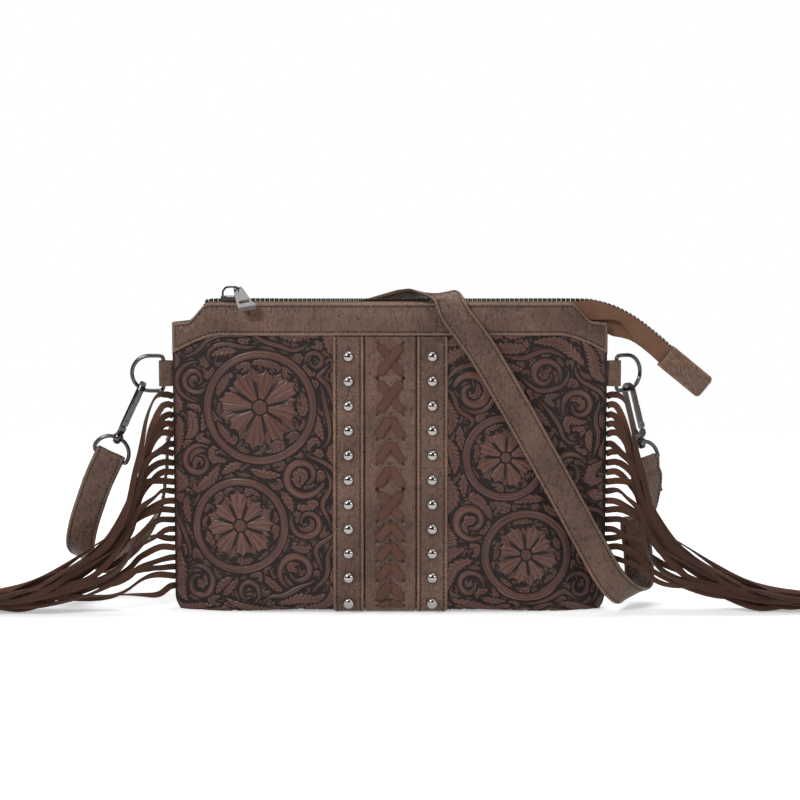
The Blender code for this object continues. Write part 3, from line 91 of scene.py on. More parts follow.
def running(points):
    """Distance along a line at each of its points."""
    steps = np.linalg.norm(np.diff(points, axis=0), axis=1)
    return np.concatenate([[0], np.cumsum(steps)])


def resampled(points, spots):
    """Points of a line at given distances along it."""
    run = running(points)
    return np.stack([np.interp(spots, run, points[:, axis]) for axis in range(3)], 1)


def swell(u):
    return 1 - np.minimum(np.abs(u) / HALF, 1.0) ** 4


def half_depth(u, z):
    rise = np.clip((z - BASE_RADIUS) / STRAIGHT, 0.0, 1.0)
    middle = (BASE_DEPTH + (TOP_DEPTH - BASE_DEPTH) * rise) / 2 + BELLY * np.sin(np.pi * rise)
    return SEAM_DEPTH / 2 + (middle - SEAM_DEPTH / 2) * swell(u)


def skin_point(u, v):
    """The front skin at width u and drop v from the top edge, round the bottom to its seam."""
    turn = np.clip((v - STRAIGHT) / BEND, 0.0, 1.0) * np.pi / 2
    depth = half_depth(u, BASE_RADIUS)
    flat = np.minimum(BASE_FLAT, 0.6 * depth)
    run = (v - STRAIGHT - BEND) / FLAT_RUN
    y_bend = -flat - (depth - flat) * np.maximum(np.cos(turn), 0) ** BEND_POWER
    y_flat = -flat + (flat + SEAM_SHIFT * swell(u)) * run
    y = np.where(v <= STRAIGHT, -half_depth(u, HEIGHT - v), np.where(run < 0, y_bend, y_flat))
    z = np.where(v <= STRAIGHT, HEIGHT - v, BASE_RADIUS * (1 - np.sin(turn) ** BEND_POWER))
    middle = 1 - smooth((np.abs(u) / HALF - 0.4) / 0.45)
    z = z + STACK * middle * np.maximum(0.0, 1 - z / (2 * BASE_RADIUS)) ** 2
    pull = CORNER_PULL * np.maximum(0.0, 1 - z / CORNER_REACH) ** 2 * u / HALF
    return np.stack([u - pull, y, z], -1)


def front(u, v, h):
    """Points at height h over the front skin, none of them under the floor."""
    u, v, h = np.broadcast_arrays(np.asarray(u, float), np.asarray(v, float), np.asarray(h, float))
    step = 0.00002
    across = skin_point(u + step, v) - skin_point(u - step, v)
    down = skin_point(u, v + step) - skin_point(u, v - step)
    normal = unit(np.cross(down, across))
    points = skin_point(u, v) + normal * h[..., None]
    points[..., 2] = np.maximum(points[..., 2], 0.0)
    return points


def back(u, v, h):
    """The back skin is the front's mirror as far as the bottom, and ends behind the front's seam."""
    u, v, h = np.broadcast_arrays(np.asarray(u, float), np.asarray(v, float), np.asarray(h, float))
    reach = np.minimum(v, STRAIGHT + BEND)
    points = front(u, reach, h)
    flat = np.minimum(BASE_FLAT, 0.6 * half_depth(u, BASE_RADIUS))
    edge = SEAM_SHIFT * swell(u) + 2 * GAP
    points[..., 1] = -points[..., 1] + (edge - flat) * (v - reach) / FLAT_RUN
    return points


def grid_piece(name, points, fields=None, closed=False):
    """A mesh from rows of points, with a value on each point for every field."""
    rows, count = points.shape[:2]
    index = np.arange(rows * count).reshape(rows, count)
    if closed:
        index = np.hstack([index, index[:, :1]])
    corners = np.stack([index[:-1, :-1], index[:-1, 1:], index[1:, 1:], index[1:, :-1]], -1).reshape(-1, 4)
    data = bpy.data.meshes.new(name)
    data.from_pydata(points.reshape(-1, 3), [], corners.tolist())
    data.shade_smooth()
    for field, values in (fields or {}).items():
        data.attributes.new(field, "FLOAT", "POINT").data.foreach_set("value", np.ravel(values))
    piece = bpy.data.objects.new(name, data)
    bpy.context.collection.objects.link(piece)
    return piece


def tube_faces(base, rings, count):
    """Quads between neighbouring rings of a tube, whose corners start at base."""
    found = []
    for here in range(base, base + count * (rings - 1), count):
        for k in range(count):
            after = (k + 1) % count
            found.append((here + k, here + after, here + count + after, here + count + k))
    return found


def solid_mesh(name, points, faces):
    data = bpy.data.meshes.new(name)
    data.from_pydata([tuple(p) for p in points], [], faces)
    work = bmesh.new()
    work.from_mesh(data)
    bmesh.ops.recalc_face_normals(work, faces=work.faces[:])
    work.to_mesh(data)
    work.free()
    data.shade_smooth()
    piece = bpy.data.objects.new(name, data)
    bpy.context.collection.objects.link(piece)
    return piece


def tucked(grid, low):
    """Height field with a border that drops to the underside of the piece."""
    return np.pad(grid, 1, constant_values=low)


def edged(grid):
    return np.pad(grid, 1, mode="edge")


def sheet(name, place, u, v, height, low, fields=None):
    """A thin piece that lies on the skin."""
    return grid_piece(name, place(edged(u), edged(v), tucked(height, low)), fields)


def dress(piece, material, slot, body, *nodes):
    """Gives a piece its finish, its body and the solids that it stands for."""
    piece.data.materials.clear()
    piece.data.materials.append(material)
    if nodes:
        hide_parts(*nodes)
    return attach(piece, body)


class Tone:
    """A socket of a material. Arithmetic on it adds Math nodes, and node() adds any other."""

    def __init__(self, socket):
        self.socket = socket

    def node(self, kind, settings=None, values=None, out=0):
        tree = self.socket.id_data
        made = tree.nodes.new("ShaderNode" + kind)
        for name, value in (settings or {}).items():
            setattr(made, name, value)
        for name, value in (values or {}).items():
            if isinstance(value, Tone):
                tree.links.new(value.socket, made.inputs[name])
            else:
                made.inputs[name].default_value = value
        return Tone(made.outputs[out])

    def math(self, operation, a, b=0.0, clamp=False):
        return self.node("Math", {"operation": operation, "use_clamp": clamp}, {0: a, 1: b})

    def __add__(self, other):
        return self.math("ADD", self, other)

    def __sub__(self, other):
        return self.math("SUBTRACT", self, other)

    def __rsub__(self, other):
        return self.math("SUBTRACT", other, self)

    def __mul__(self, other):
        return self.math("MULTIPLY", self, other)

    __radd__ = __add__

    def clear(self, low, high):
        """From 0 at low to 1 at high, held at both ends."""
        return self.math("MULTIPLY", (self - low), 1 / (high - low), clamp=True)

    def colour(self, dark, light):
        return self.node("Mix", {"data_type": "RGBA"}, {0: self, 6: (*dark, 1), 7: (*light, 1)}, out=2)

    def over(self, under, colour):
        """The colour laid over another one where this value is 1."""
        return self.node("Mix", {"data_type": "RGBA"}, {0: self, 6: under, 7: (*colour, 1)}, out=2)

    def stretched(self, scale):
        return self.node("Mapping", values={"Vector": self, "Scale": scale})

    def noise(self, scale, detail=3.0, roughness=0.55):
        values = {"Vector": self, "Scale": scale, "Detail": detail, "Roughness": roughness}
        return self.node("TexNoise", values=values)

    def cells(self, scale, feature="F1"):
        return self.node("TexVoronoi", {"feature": feature}, {"Vector": self, "Scale": scale})

    def field(self, name):
        return self.node("Attribute", {"attribute_name": name}, out=2)

    def bump(self, distance, strength=1.0, after=None):
        values = {"Height": self, "Distance": distance, "Strength": strength}
        if after:
            values["Normal"] = after
        return self.node("Bump", values=values)


CONSTANTS = {
    "roughness": "Roughness",
    "specular": "Specular IOR Level",
    "sheen": "Sheen Weight",
    "sheen_roughness": "Sheen Roughness",
}


def start(name, metallic=0.0, **constants):
    """A new material: its shader and the place of each point in metres."""
    made = bpy.data.materials.new(name)
    made.use_nodes = True
    shader = made.node_tree.nodes["Principled BSDF"]
    shader.inputs["Metallic"].default_value = metallic
    for constant, value in constants.items():
        shader.inputs[CONSTANTS[constant]].default_value = value
    place = Tone(shader.outputs[0]).node("TexCoord", out=3)
    return made, shader, place


def finish(shader, **tones):
    names = {"colour": "Base Color", "roughness": "Roughness", "normal": "Normal", "glow": "Emission Color"}
    for key, tone in tones.items():
        shader.id_data.links.new(tone.socket, shader.inputs[names[key]])


# Tooled panels: the front is veg-style faux leather, pressed with western flowers, rings and scrolls.
# The ground round each form is beaten down and painted near black, as antique dye and as painted shade, and
# the raised forms are worn lighter.
STRIP_WIDTH = 0.0202
LACE_WIDTH = 0.0330
CENTRE_SHIFT = 0.0003
STRIP_INNER = LACE_WIDTH / 2 + GAP
STRIP_OUTER = STRIP_INNER + STRIP_WIDTH
YOKE_DEPTH = 0.0214
YOKE_TUCK = 0.009
YOKE_FLARE = 0.012
SHOULDER_STEP = 0.012
SHOULDER_START = 0.0245
SHOULDER_RUN = 0.015
RELIEF = 0.0009
RING_BAND = 0.0050
PETALS = 8
TOOLED_LIGHT = (0.125, 0.056, 0.042)
TOOLED_MID = (0.058, 0.024, 0.018)
TOOLED_DARK = (0.007, 0.003, 0.003)


def shoulder(u):
    out = np.abs(u) - (HALF - SHOULDER_START)
    return SHOULDER_STEP * smooth(out / SHOULDER_RUN) + 0.10 * np.maximum(0.0, out - SHOULDER_RUN)


def yoke_foot(u):
    return YOKE_DEPTH + YOKE_FLARE * (np.maximum(0.0, np.abs(u) / HALF - 0.78) / 0.22) ** 1.5


def panel_top(u):
    return np.maximum(yoke_foot(u) - YOKE_TUCK, shoulder(u) + 0.002)


def leaf_spine(centre, length, angle, bend):
    """The bent middle line of a pointed leaf."""
    share = np.linspace(-0.5, 0.5, 9)
    turn = np.radians(angle)
    spin = np.array([[np.cos(turn), -np.sin(turn)], [np.sin(turn), np.cos(turn)]])
    return np.array(centre) + np.stack([length * share, bend * length * (0.25 - share**2)], 1) @ spin.T


def spiral(centre, radius, turn, sweep):
    """The middle line of a scroll, which winds inwards."""
    share = np.linspace(0, 1, 30)
    angle = np.radians(turn + sweep * share)
    reach = radius * (1 - 0.62 * share)
    return np.array(centre) + np.stack([reach * np.cos(angle), reach * np.sin(angle)], 1)


class Carving:
    """Height of the tooling on one field. Forms that are cut first lie over those cut later."""

    MOAT = 0.00030

    def __init__(self, u, v):
        self.u, self.v = u, v
        self.depth = np.full(u.shape, -0.008)
        self.height = np.zeros(u.shape)
        # groove marks painted shade, with antique dye: the cut lines and the places where a form dips under
        # an older one go dark.
        self.groove = np.zeros(u.shape)

    def near(self, centre, reach):
        return (np.abs(self.u - centre[0]) < reach) & (np.abs(self.v - centre[1]) < reach)

    def press(self, spot, depth, height, groove):
        """Raises a form where nothing lies yet. It dips where it runs under an older one."""
        room = -self.depth[spot] - self.MOAT
        free = (depth > 0) & (room > 0)
        tuck = smooth(room / 0.0006)
        self.height[spot] = np.where(free, height * tuck, self.height[spot])
        self.groove[spot] = np.where(free, np.maximum(groove, 1 - tuck), self.groove[spot])
        self.depth[spot] = np.maximum(self.depth[spot], depth)

    def along(self, spine, reach):
        """Share along a line and signed distance from it, for the points that lie near it."""
        low, high = spine.min(0) - reach, spine.max(0) + reach
        spot = (self.u > low[0]) & (self.u < high[0]) & (self.v > low[1]) & (self.v < high[1])
        points = np.stack([self.u[spot], self.v[spot]], -1)
        edge = np.diff(spine, axis=0)
        length = np.maximum(np.linalg.norm(edge, axis=1), 1e-6)
        share = np.clip(((points[:, None] - spine[:-1]) * edge).sum(2) / length**2, 0, 1)
        offset = points[:, None] - spine[:-1] - share[..., None] * edge
        distance = np.linalg.norm(offset, axis=2)
        best, every = distance.argmin(1), np.arange(len(points))
        before = np.concatenate([[0], np.cumsum(length)])
        run = (before[best] + share[every, best] * length[best]) / before[-1]
        turned = edge[best, 0] * offset[every, best, 1] - edge[best, 1] * offset[every, best, 0]
        return spot, run, np.sign(turned) * distance[every, best]

    def scroll(self, spine, width):
        """A smooth comma with a cut line inside its edge."""
        spot, run, across = self.along(spine, 0.008)
        depth = width / 2 * np.sin(np.pi * (0.10 + 0.82 * run)) ** 0.7 - np.abs(across)
        line = np.exp(-(((depth - 0.0009) / 0.00026) ** 2))
        self.press(spot, depth, RELIEF * smooth(depth / 0.0006) - 0.0003 * line, line)

    def acanthus(self, spine, width, lobes):
        """A leaf with a midrib and swept lobes, each with its own vein."""
        spot, run, across = self.along(spine, 0.008)
        side = np.abs(across) / width
        phase = run * lobes - 1.2 * side
        lobe = np.abs(np.sin(np.pi * phase))
        half = width * np.maximum(np.sin(np.pi * (0.04 + 0.93 * run)), 0) ** 0.7 * (0.62 + 0.38 * lobe**0.8)
        depth = half - np.abs(across)
        rib = np.exp(-((across / 0.00026) ** 2)) * (run < 0.9)
        between = np.exp(-((lobe / 0.26) ** 2)) * smooth((side - 0.12) / 0.2)
        vein = np.exp(-((np.abs(np.cos(np.pi * phase)) / 0.20) ** 2))
        vein = vein * smooth((side - 0.2) / 0.2) * smooth((0.8 - side) / 0.2)
        cut = np.maximum(rib, np.maximum(between, 0.45 * vein))
        body = 0.9 * RELIEF * smooth(depth / 0.0006) + 0.00012 * lobe
        self.press(spot, depth, body - 0.0004 * cut, cut)

    def ring(self, centre, radius):
        """A round frame of three bands, the outer one notched like a rope in places."""
        spot = self.near(centre, radius + 0.008)
        across, down = self.u[spot] - centre[0], self.v[spot] - centre[1]
        reach, angle = np.hypot(across, down), np.arctan2(down, across)
        depth = np.minimum(radius - reach, reach - radius + RING_BAND)
        share = (radius - reach) / RING_BAND
        line = np.exp(-(((share - 0.44) / 0.06) ** 2)) + np.exp(-(((share - 0.76) / 0.05) ** 2))
        rope = smooth((0.40 - share) / 0.1) * smooth(np.sin(angle * 2.3 + radius * 900) / 0.3 + 0.1)
        notch = rope * (0.5 + 0.5 * np.sin(angle * radius / 0.00022 + 2 * share))
        cut = np.maximum(np.minimum(line, 1), 0.8 * notch)
        self.press(spot, depth, RELIEF * smooth(depth / 0.0006) - 0.00035 * cut, cut)

    def petals(self, centre, radius, turn, lift):
        """Long petals with lobed tips and fans of veins."""
        spot = self.near(centre, radius + 0.008)
        across, down = self.u[spot] - centre[0], self.v[spot] - centre[1]
        reach, angle = np.hypot(across, down), np.arctan2(down, across) - np.radians(turn)
        sector = 2 * np.pi / PETALS
        number = np.floor((angle + sector / 2) / sector) % PETALS
        local = (angle + sector / 2) % sector - sector / 2
        half = 0.86 * sector / 2
        share = np.abs(local) / half
        size = radius * (0.93 + 0.07 * np.sin(number * 2.4 + turn))
        rim = size * (0.70 + 0.30 * np.maximum(np.cos(np.minimum(share, 1) * np.pi / 2), 0) ** 0.6)
        rim *= 1 - 0.10 * np.abs(np.sin(local / half * np.pi * 1.5))
        depth = np.minimum(rim - reach, (half - np.abs(local)) * reach * 0.9)
        sway = local / half + 0.12 * np.sin(reach / radius * 5 + number)
        ridge = np.abs(np.sin(sway * np.pi * 1.5))
        vein = np.exp(-((ridge / 0.30) ** 2))
        vein = vein * smooth((reach / radius - 0.24) / 0.12) * smooth((rim - reach) / 0.0012)
        cut = vein * (0.75 + 0.25 * np.sin(reach / 0.0011 + number))
        body = lift * RELIEF * smooth(depth / 0.0007) + 0.00010 * ridge
        self.press(spot, depth, body - 0.0004 * cut, cut)

    def flower(self, centre, radius, turn):
        """A beaded eye, a round of petals and one more behind it."""
        spot = self.near(centre, radius)
        across, down = self.u[spot] - centre[0], self.v[spot] - centre[1]
        depth = 0.17 * radius - np.hypot(across, down)
        seeds = 1 - np.clip(1.6 * np.abs(np.sin(across / 0.00042) * np.sin(down / 0.00042)), 0, 1)
        self.press(spot, depth, RELIEF * 1.15 * smooth(depth / 0.0006) - 0.0004 * seeds, 0.9 * seeds)
        self.petals(centre, radius, turn, 1.0)
        self.petals(centre, radius * 0.98, turn + 180 / PETALS, 0.8)

    def stream(self, row, column, length):
        """A line from one grid point that follows the edge of the nearest form, both ways."""
        rise = np.gradient(self.depth)
        halves = []
        for way in (1, -1):
            spot, points = np.array([row, column], float), []
            for _ in range(int(length / 2 / FINE)):
                here = tuple(np.clip(spot.round().astype(int), 0, np.array(self.depth.shape) - 1))
                points.append((self.u[here], self.v[here]))
                slope = np.array([rise[0][here], rise[1][here]])
                spot = spot + way * np.array([slope[1], -slope[0]]) / (np.linalg.norm(slope) + 1e-9)
            halves.append(points)
        line = np.array(halves[1][:0:-1] + halves[0])
        line = line[np.append(True, np.linalg.norm(np.diff(line, axis=0), axis=1) > FINE / 4)]
        kept = line[:: max(1, len(line) // 9)]
        soft = (np.roll(kept, 1, axis=0) + kept + np.roll(kept, -1, axis=0)) / 3
        return np.vstack([kept[:1], soft[1:-1], kept[-1:]])

    def vines(self, order, count, length, width):
        """Long stems with a cut down the middle, which flow round the rings."""
        for row, column in order:
            if count and 0.0026 < -self.depth[row, column] < 0.0060:
                spine = self.stream(row, column, length)
                if len(spine) > 6 and np.ptp(spine, axis=0).max() > 0.5 * length:
                    spot, run, across = self.along(spine, 0.006)
                    depth = width * np.maximum(np.sin(np.pi * (0.03 + 0.94 * run)), 0) ** 0.5 - np.abs(across)
                    line = np.exp(-((across / 0.00030) ** 2))
                    self.press(spot, depth, RELIEF * smooth(depth / 0.0006) - 0.0003 * line, line)
                    count -= 1

    def foliage(self, order, sizes):
        """Leaves in every gap, the large ones first, each along the edge of what lies beside it."""
        for length, width, room in sizes:
            for row, column in order:
                space = -self.depth[row, column]
                if room < space < 0.0095:
                    spine = self.stream(row, column, length)
                    if len(spine) > 4 and np.ptp(spine, axis=0).max() > 0.3 * length:
                        self.acanthus(spine, min(width, 0.95 * space), round(length / 0.0036))

    def finished(self):
        return np.where(self.depth > 0, self.height, 0.0)


# Shares across and down the field, then sizes in metres and turns in degrees.
LEFT_FLOWERS = [(0.545, 0.232, 0.0366, 0.0285, 10), (0.41, 0.680, 0.0312, 0.0240, 40)]
RIGHT_FLOWERS = [(0.36, 0.42, 0.0280, 0.0210, 25), (0.50, 0.79, 0.0292, 0.0220, 60)]
LEFT_CURLS = [
    (0.83, 0.490, 0.0140, 20, 400, 0.0050),
    (0.86, 0.665, 0.0110, 200, -380, 0.0042),
    (0.79, 0.850, 0.0125, 120, 400, 0.0046),
    (0.13, 0.440, 0.0110, 300, -380, 0.0042),
    (0.11, 0.130, 0.0090, 30, 380, 0.0038),
    (0.13, 0.900, 0.0110, 240, 390, 0.0040),
    (0.46, 0.930, 0.0080, 60, -360, 0.0034),
    (0.91, 0.060, 0.0065, 180, 360, 0.0032),
]
RIGHT_CURLS = [
    (0.14, 0.175, 0.0125, 200, 400, 0.0060),
    (0.62, 0.110, 0.0105, 20, -380, 0.0042),
    (0.85, 0.230, 0.0110, 150, 390, 0.0042),
    (0.78, 0.480, 0.0130, 330, -400, 0.0046),
    (0.13, 0.660, 0.0120, 60, 400, 0.0052),
    (0.88, 0.690, 0.0090, 90, 380, 0.0038),
    (0.12, 0.900, 0.0090, 10, -380, 0.0038),
    (0.86, 0.910, 0.0085, 200, 380, 0.0036),
]
LEFT_LEAVES = [
    (0.94, 0.30, 0.018, 0.0060, 75, 0.3),
    (0.17, 0.27, 0.018, 0.0060, 100, -0.3),
    (0.58, 0.475, 0.020, 0.0055, 10, 0.3),
    (0.36, 0.465, 0.015, 0.0055, 155, 0.3),
    (0.72, 0.585, 0.015, 0.0055, 60, -0.3),
    (0.06, 0.62, 0.018, 0.0055, 85, 0.3),
    (0.72, 0.735, 0.014, 0.0050, 100, 0.3),
    (0.31, 0.03, 0.017, 0.0050, 170, 0.3),
    (0.63, 0.895, 0.015, 0.0050, 40, 0.3),
    (0.30, 0.905, 0.014, 0.0050, 140, 0.3),
]
RIGHT_LEAVES = [
    (0.38, 0.075, 0.018, 0.0055, 15, 0.3),
    (0.40, 0.215, 0.020, 0.0060, 160, -0.3),
    (0.60, 0.265, 0.017, 0.0055, 50, 0.3),
    (0.07, 0.350, 0.017, 0.0055, 80, 0.3),
    (0.66, 0.385, 0.016, 0.0050, 110, -0.3),
    (0.09, 0.520, 0.016, 0.0055, 95, 0.3),
    (0.52, 0.585, 0.020, 0.0055, 175, 0.3),
    (0.93, 0.360, 0.015, 0.0050, 90, 0.3),
    (0.68, 0.620, 0.015, 0.0050, 30, 0.3),
    (0.28, 0.955, 0.016, 0.0050, 10, 0.3),
]


def tooled_leather():
    made, shader, place = start("tooled leather", specular=0.32)
    relief = place.field("relief")
    groove = place.field("groove")
    patch = place.noise(35, 3)
    grain = place.noise(1400, 2)
    worn = (relief * 0.8 + (patch - 0.5) * 0.9 + (grain - 0.5) * 0.4).clear(0.30, 1.0)
    colour = worn.colour(TOOLED_MID, TOOLED_LIGHT)
    # Painted shade, with antique dye: the low ground and the cut lines are laid over with near black.
    ground = 1 - relief.clear(0.10, 0.75)
    shade = place.math("MAXIMUM", ground, groove * 0.85)
    colour = (shade * 0.94).over(colour, TOOLED_DARK)
    stipple = place.cells(1500) * ground
    bump = (grain * 0.5 + stipple * 0.8).bump(0.00012)
    finish(shader, colour=colour, roughness=0.20 + patch * 0.14 + shade * 0.45, normal=bump)
    return made


tooled = tooled_leather()
TOOLED_EDGE = 0.004
TOOLED_MARGIN = 0.0025
TOOLED_TOP = YOKE_DEPTH + 0.006
TOOLED_FOOT = STRAIGHT + 0.55 * BEND
FINE = 0.00052
VINES = 12
VINE_LENGTH = 0.052
VINE_WIDTH = 0.0015
# Length and half width of the leaves between the forms, and the room that one needs.
FOLIAGE = [
    (0.040, 0.0044, 0.0042), (0.030, 0.0034, 0.0030), (0.020, 0.0026, 0.0021), (0.014, 0.0018, 0.0014),
    (0.009, 0.0012, 0.0009),
]


def tooled_panel(label, low, high, field_low, field_high, flowers, curls, leaves, *nodes):
    across = np.arange(low, high, FINE)
    rows = int(SEAM / FINE)
    u, share = np.meshgrid(across, np.linspace(0, 1, rows))
    v = panel_top(u) + (SEAM - panel_top(u)) * share
    carving = Carving(u, v)
    corner = np.array([field_low, TOOLED_TOP])
    span = np.array([field_high - field_low, TOOLED_FOOT - TOOLED_TOP])
    for x, y, ring, radius, turn in flowers:
        carving.ring(corner + span * (x, y), ring)
        carving.flower(corner + span * (x, y), radius, turn)
    for x, y, radius, turn, sweep, width in curls:
        carving.scroll(spiral(corner + span * (x, y), radius, turn, sweep), width)
    for x, y, length, width, angle, bend in leaves:
        carving.acanthus(leaf_spine(corner + span * (x, y), length, angle, bend), width * 0.6, 5)
    grid = np.meshgrid(np.arange(4, rows - 4, 5), np.arange(4, len(across) - 4, 5), indexing="ij")
    order = np.random.default_rng(5).permutation(np.stack(grid, -1).reshape(-1, 2))
    carving.vines(order, VINES, VINE_LENGTH, VINE_WIDTH)
    carving.foliage(order, FOLIAGE)
    height = carving.finished()
    height = height * smooth((HALF - np.abs(u)) / 0.003) * smooth((v - yoke_foot(u) + 0.002) / 0.002)
    fade = 1 - smooth((v - STRAIGHT - 0.75 * BEND) / 0.006)
    height = height * fade
    fields = {"relief": edged(height / RELIEF), "groove": edged(carving.groove)}
    piece = sheet(f"tooled_panel_{label}", front, u, v, height, -LAYER, fields)
    return dress(piece, tooled, "tooled_leather", "root", *nodes)


LEFT_EDGE = CENTRE_SHIFT - STRIP_OUTER
RIGHT_EDGE = CENTRE_SHIFT + STRIP_OUTER
tooled_panel(
    "left", -HALF, LEFT_EDGE + 0.004, TOOLED_EDGE - HALF, LEFT_EDGE - TOOLED_MARGIN,
    LEFT_FLOWERS, LEFT_CURLS, LEFT_LEAVES, "front_panel",
)
tooled_panel(
    "right", RIGHT_EDGE - 0.004, HALF, RIGHT_EDGE + TOOLED_MARGIN, HALF - TOOLED_EDGE,
    RIGHT_FLOWERS, RIGHT_CURLS, RIGHT_LEAVES, "front_panel",
)

# Back panel: one plain sheet of smooth leather with a fine grain and a few soft creases.
# The same leather covers the yokes, strips, lace panel, strap and tabs.
SMOOTH_HIGHLIGHT = (0.215, 0.128, 0.085)
SMOOTH_MID = (0.104, 0.050, 0.030)
SMOOTH_DARK = (0.036, 0.017, 0.011)
SMOOTH_SHADE = (0.018, 0.008, 0.005)


def smooth_leather(name, crinkle):
    """Crinkle is the stretch of the fine folds along X, Y and Z."""
    made, shader, place = start(name, specular=0.38)
    cloud = place.noise(24, 3, 0.55)
    fleck = place.noise(300, 4, 0.65)
    folds = place.stretched(crinkle).noise(300, 4, 0.62)
    ridge = 1 - folds.math("ABSOLUTE", folds - 0.5) * 8
    area = (cloud - 0.5) * 2.0 + 0.55
    # The tone follows the folds' height as well as random mottling, so the crinkles carry painted shade in
    # their hollows and painted light on their crests.
    tone = ((cloud - 0.5) * 1.5 + (fleck - 0.5) * 1.4 + (folds - 0.5) * 1.6 + 0.62).clear(0.0, 1.0)
    colour = tone.colour(SMOOTH_DARK, SMOOTH_MID)
    # Painted highlight: glints along the fold crests, and the light rims of edges and holes, are laid over in
    # a pale colour.
    painted_highlight = (ridge.clear(0.2, 1.0) * area.clear(0.3, 0.9) * 0.62 + place.field("rub") * 0.6).clear(0.0, 1.0)
    colour = painted_highlight.over(colour, SMOOTH_HIGHLIGHT)
    # Painted shade: the groove field's stitch lines, turned edges, panel edges and holes are laid over with
    # near black.
    colour = (place.field("groove") * 0.9).over(colour, SMOOTH_SHADE)
    grain = place.cells(1150)
    bump = (grain * 0.6 + place.noise(2600, 2) * 0.4).bump(0.00010)
    bump = folds.bump(0.00130, 1.0, after=bump)
    bump = cloud.bump(0.00300, 0.5, after=bump)
    finish(shader, colour=colour, roughness=0.17 + fleck * 0.20 + tone * 0.06, normal=bump)
    return made


leather = smooth_leather("smooth leather", (1.7, 1.0, 0.8))
across, share = np.meshgrid(np.linspace(-HALF, HALF, 150), np.linspace(0, 1, 130))
drop = panel_top(across) + (SEAM - panel_top(across)) * share
ripple = 0.0002 * np.sin(across / 0.017 + 2 * np.sin(drop / 0.05)) * np.sin(drop / 0.026)
back_sheet = sheet("back_sheet", back, across, drop, ripple, -LAYER)
dress(back_sheet, leather, "smooth_leather", "root", "back_panel")

# Yokes: smooth bands folded over the top edge, front and back, and sewn along both edges.
# The thread lies in a shallow groove, and each stitch dips into its holes.
STITCH_PITCH = 0.0027
STITCH_LENGTH = 0.0019
STITCH_WIRE = 0.00052
STITCH_INSET = 0.0026
# Share of a stitch's length, then its height and its thickness there, in half wires.
STITCH_RINGS = [(0, -0.9, 0.55), (0.18, 0.2, 1.0), (0.5, 0.45, 1.1), (0.82, 0.2, 1.0), (1, -0.9, 0.55)]
THREAD_COLOUR = (0.012, 0.006, 0.004)


def thread():
    made, shader, place = start("thread", roughness=0.75, specular=0.2)
    strand = place.noise(5000, 2)
    colour = strand.colour(THREAD_COLOUR, tuple(2.2 * c for c in THREAD_COLOUR))
    finish(shader, colour=colour, normal=strand.bump(0.00008))
    return made


sewing = thread()


def stitch_ring(centre, tangent, normal, thickness):
    side = np.cross(tangent, normal)
    return [centre + thickness * (np.cos(a) * side + np.sin(a) * normal) for a in (0, 1.26, 2.51, 3.77, 5.03)]


def stitches(name, points, normals):
    """A row of separate stitches along a line of closely spaced points with their outward normals."""
    run = running(points)
    corners, faces = [], []

    def at(distance):
        spot = np.array([np.interp(distance, run, points[:, k]) for k in range(3)])
        out = np.array([np.interp(distance, run, normals[:, k]) for k in range(3)])
        return spot, out / np.linalg.norm(out)

    for begin in np.arange(STITCH_PITCH / 2, run[-1] - STITCH_PITCH, STITCH_PITCH):
        base = len(corners)
        ends = at(begin)[0], at(begin + STITCH_LENGTH)[0]
        tangent = (ends[1] - ends[0]) / np.linalg.norm(ends[1] - ends[0])
        for share, dip, thick in STITCH_RINGS:
            spot, out = at(begin + STITCH_LENGTH * share)
            corners += stitch_ring(spot + out * dip * STITCH_WIRE / 2, tangent, out, thick * STITCH_WIRE / 2)
        faces += tube_faces(base, len(STITCH_RINGS), 5)
    return dress(solid_mesh(name, corners, faces), sewing, "smooth_leather", "root")


def sewn_line(name, place, u, v, height):
    """Stitches along a line on the skin."""
    low, high = place(u, v, height), place(u, v, height + 0.001)
    return stitches(name, low, (high - low) / 0.001)


def edge_profile(distance):
    """Height over the skin at a distance from the cut edge: rounded edge, stitch groove, flat field."""
    turned_edge = np.clip(1 - (1 - distance / 0.0012).clip(0, 1) ** 2, 0, 1)
    rounded = GAP + 0.0004 + (LAYER - 0.0004) * np.sqrt(turned_edge)
    groove = 0.00035 * np.exp(-(((distance - STITCH_INSET) / 0.0006) ** 2))
    return rounded - groove - 0.0002 * smooth((distance - STITCH_INSET) / 0.0008)


def edge_fields(distance):
    """A turned edge gets a painted highlight on its rounded rim, and painted shade in the line of the
    stitches and where it turns under.
    """
    rub = 0.9 * np.exp(-(((distance - 0.0011) / 0.0007) ** 2))
    groove = 0.75 * np.exp(-(((distance - STITCH_INSET) / 0.00045) ** 2)) + 0.6 * (distance < 0.0003)
    return {"rub": np.pad(rub, 1), "groove": np.pad(groove, 1, constant_values=0.9)}


def make_yoke(label, place):
    across = np.linspace(-HALF, HALF, 420)
    share = np.linspace(0, 1, 60)
    u, s = np.meshgrid(across, share)
    low, high = shoulder(u), yoke_foot(u)
    v = low + (high - low) * s
    distance = np.minimum(np.minimum(v - low, high - v), HALF - np.abs(u))
    height = edge_profile(distance)
    height += 0.00012 * np.sin(u / 0.006 + np.sin(v / 0.004)) * smooth((distance - 0.003) / 0.003)
    height += 0.0009 * smooth((distance - STITCH_INSET) / 0.007)
    piece = sheet(f"yoke_{label}_leather", place, u, v, height, GAP, edge_fields(distance))
    dress(piece, leather, "smooth_leather", "root", f"yoke_{label}")
    inner = np.linspace(STITCH_INSET - HALF, HALF - STITCH_INSET, 500)
    level = STACK - 0.0003
    sewn_line(f"yoke_{label}_top_stitches", place, inner, shoulder(inner) + STITCH_INSET, level)
    sewn_line(f"yoke_{label}_foot_stitches", place, inner, yoke_foot(inner) - STITCH_INSET, level)


make_yoke("front", front)
make_yoke("back", back)

